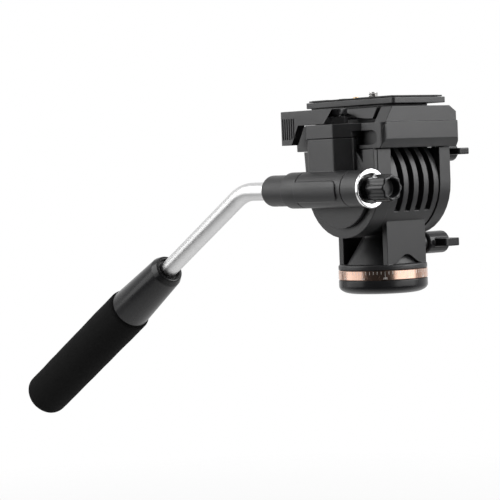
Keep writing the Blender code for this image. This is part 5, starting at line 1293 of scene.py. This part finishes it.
class VIDEOHEAD_OT_stage(bpy.types.Operator):
    """Set the floor, the soft lights, the white surroundings and the camera"""

    bl_idname = "video_head.stage"
    bl_label = "Stage and camera"

    def execute(self, context):
        stage = context.scene.video_head_stage
        self.make_floor()
        self.make_lights(stage)
        self.make_world(context)
        self.make_camera(context, stage)
        context.scene.view_settings.view_transform = 'Standard'
        return {'FINISHED'}

    def make_floor(self):
        """A plain pale floor, below the handle's lowest reach, that fades into the surroundings."""
        bm = bmesh.new()
        bmesh.ops.create_circle(bm, cap_ends=True, segments=96, radius=1.6)
        tilt_z = BARREL_Z + 0.002
        reach = math.hypot(CAD_BOX[0][1], tilt_z - CAD_BOX[0][2])
        middle = Vector((-0.25, -0.55, tilt_z - reach - 0.004))
        floor = object_from("floor", bm, Matrix.Translation(middle))
        if floor.data.polygons[0].normal.z < 0:
            floor.data.flip_normals()
        material = bpy.data.materials.new("floor")
        material.use_nodes = True
        tree = material.node_tree
        tree.nodes.clear()
        out = tree.nodes.new("ShaderNodeOutputMaterial")
        at = tree.nodes.new("ShaderNodeTexCoord").outputs["Object"]
        far = linked(tree, "ShaderNodeVectorMath", {0: at, 1: middle}, operation='DISTANCE')
        from_below = tree.nodes.new("ShaderNodeNewGeometry").outputs["Backfacing"]
        fade = calculated(tree, 'MAXIMUM', from_below, ranged(
            tree, far.outputs["Value"], 0.0, 1.0, 0.45, 1.0))
        path = tree.nodes.new("ShaderNodeLightPath").outputs
        mirrored = calculated(tree, 'MAXIMUM', path["Is Glossy Ray"], path["Is Transmission Ray"])
        seen = calculated(tree, 'MULTIPLY_ADD', mirrored, 0.4, calculated(
            tree, 'MULTIPLY', path["Is Camera Ray"], 0.93))
        paint = linked(tree, "ShaderNodeBsdfDiffuse", {"Color": (0.82, 0.82, 0.82, 1)})
        white = linked(tree, "ShaderNodeEmission", {"Color": (1, 1, 1, 1), "Strength": 1.0})
        clear = tree.nodes.new("ShaderNodeBsdfTransparent")
        bright = linked(tree, "ShaderNodeMixShader", {
            0: seen, 1: paint.outputs[0], 2: white.outputs[0]})
        whole = linked(tree, "ShaderNodeMixShader", {0: fade, 1: bright.outputs[0], 2: clear.outputs[0]})
        tree.links.new(whole.outputs[0], out.inputs["Surface"])
        floor.data.materials.append(material)

    def make_lights(self, stage):
        """A tall soft box on each side of the camera's line, weaker below, and one above."""
        for name, across, low_across, wide, watts in (
                ("front_softbox", (-0.342, 0.564), (-0.184, 0.634), 0.76, stage.front_light),
                ("side_softbox", (0.565, -0.378), (0.565, -0.378), 0.70, stage.side_light)):
            self.make_lamp(name, (*across, 0.42), wide, 0.60, watts)
            self.make_lamp(name + "_low", (*low_across, 0.02), wide, 0.20, watts * stage.low_share)
        self.make_lamp("top_softbox", (0.0, -0.1, 0.95), 0.9, 0.9, stage.top_light)

    def make_lamp(self, name, place, wide, high, watts):
        """One soft box turned to the head."""
        lamp = bpy.data.lights.new(name, 'AREA')
        lamp.shape = 'RECTANGLE'
        lamp.size = wide
        lamp.size_y = high
        lamp.energy = watts
        obj = add_object(name, lamp)
        obj.location = place
        towards = Vector((0, 0, 0.07)) - Vector(place)
        obj.rotation_euler = towards.to_track_quat('-Z', 'Y').to_euler()

    def make_world(self, context):
        """White where it is looked at; for light and reflections a studio that is dark on one side."""
        world = bpy.data.worlds.new("studio")
        context.scene.world = world
        world.use_nodes = True
        tree = world.node_tree
        tree.nodes.clear()
        out = tree.nodes.new("ShaderNodeOutputWorld")
        way = tree.nodes.new("ShaderNodeTexCoord").outputs["Generated"]
        facing = linked(tree, "ShaderNodeVectorMath", {0: way, 1: (0.69, 0.72, 0.0)}, operation='DOT_PRODUCT')
        open_side = ranged(tree, facing.outputs["Value"], 1.0, 0.02, -1.0, 0.25)
        height = linked(tree, "ShaderNodeSeparateXYZ", {"Vector": way}).outputs["Z"]
        above = ranged(tree, height, 0.25, 0.5, -0.2, 0.1)
        path = tree.nodes.new("ShaderNodeLightPath").outputs
        level = calculated(tree, 'MAXIMUM', path["Is Glossy Ray"], above)
        shown = calculated(tree, 'MULTIPLY', open_side, level)
        seen = calculated(tree, 'MAXIMUM', path["Is Camera Ray"], path["Is Transmission Ray"])
        mix = linked(tree, "ShaderNodeBackground", {
            "Color": (1, 1, 1, 1), "Strength": calculated(tree, 'MAXIMUM', seen, shown)})
        tree.links.new(mix.outputs[0], out.inputs["Surface"])

    def make_camera(self, context, stage):
        """The camera at the photograph's angle."""
        azimuth, up = stage.azimuth, stage.elevation
        forward = Vector((-math.sin(azimuth) * math.cos(up), math.cos(azimuth) * math.cos(up), -math.sin(up)))
        right = Vector((math.cos(azimuth), math.sin(azimuth), 0))
        above = right.cross(forward)
        place = Vector(stage.aim) - forward * stage.distance
        yawed = forward * math.cos(stage.aside) - right * math.sin(stage.aside)
        right = right * math.cos(stage.aside) + forward * math.sin(stage.aside)
        looking = yawed * math.cos(stage.upward) - above * math.sin(stage.upward)
        above = above * math.cos(stage.upward) + yawed * math.sin(stage.upward)
        across = right * math.cos(stage.roll) - above * math.sin(stage.roll)
        top = above * math.cos(stage.roll) + right * math.sin(stage.roll)
        data = bpy.data.cameras.new("camera")
        data.lens = stage.focal_length
        data.sensor_width = 36
        data.clip_start, data.clip_end = 0.05, 20
        camera = add_object("camera", data)
        turn = Matrix((across, top, -looking)).transposed()
        camera.matrix_world = Matrix.Translation(place) @ turn.to_4x4()
        context.scene.camera = camera


OPERATORS = (
    VIDEOHEAD_OT_base, VIDEOHEAD_OT_housing, VIDEOHEAD_OT_locks, VIDEOHEAD_OT_yoke,
    VIDEOHEAD_OT_platform, VIDEOHEAD_OT_camera_plate, VIDEOHEAD_OT_clamp, VIDEOHEAD_OT_handle_mount,
    VIDEOHEAD_OT_handle, VIDEOHEAD_OT_hardware, VIDEOHEAD_OT_stage,
)


class VIDEOHEAD_PT_panel(bpy.types.Panel):
    """The head's sizes, finishes and steps"""

    bl_idname = "VIDEOHEAD_PT_panel"
    bl_label = "Video head"
    bl_space_type = 'VIEW_3D'
    bl_region_type = 'UI'
    bl_category = "Video head"

    def draw(self, context):
        scene = context.scene
        for settings in (scene.video_head_sizes, scene.video_head_finishes, scene.video_head_stage):
            box = self.layout.box()
            for name in settings.__annotations__:
                box.prop(settings, name)
        for operator in OPERATORS:
            self.layout.operator(operator.bl_idname)


CLASSES = (HeadFinishes, HeadSizes, HeadStage) + OPERATORS + (VIDEOHEAD_PT_panel,)


def register():
    """Register the classes and hang the settings on the scene."""
    for item in CLASSES:
        bpy.utils.register_class(item)
    bpy.types.Scene.video_head_finishes = PointerProperty(type=HeadFinishes)
    bpy.types.Scene.video_head_sizes = PointerProperty(type=HeadSizes)
    bpy.types.Scene.video_head_stage = PointerProperty(type=HeadStage)


def unregister():
    """Take the settings and the classes away again."""
    del bpy.types.Scene.video_head_stage
    del bpy.types.Scene.video_head_sizes
    del bpy.types.Scene.video_head_finishes
    for item in reversed(CLASSES):
        bpy.utils.unregister_class(item)


def main():
    """Run the steps in order."""
    register()
    for operator in OPERATORS:
        group, name = operator.bl_idname.split(".")
        getattr(getattr(bpy.ops, group), name)()


if __name__ == "__main__":
    main()
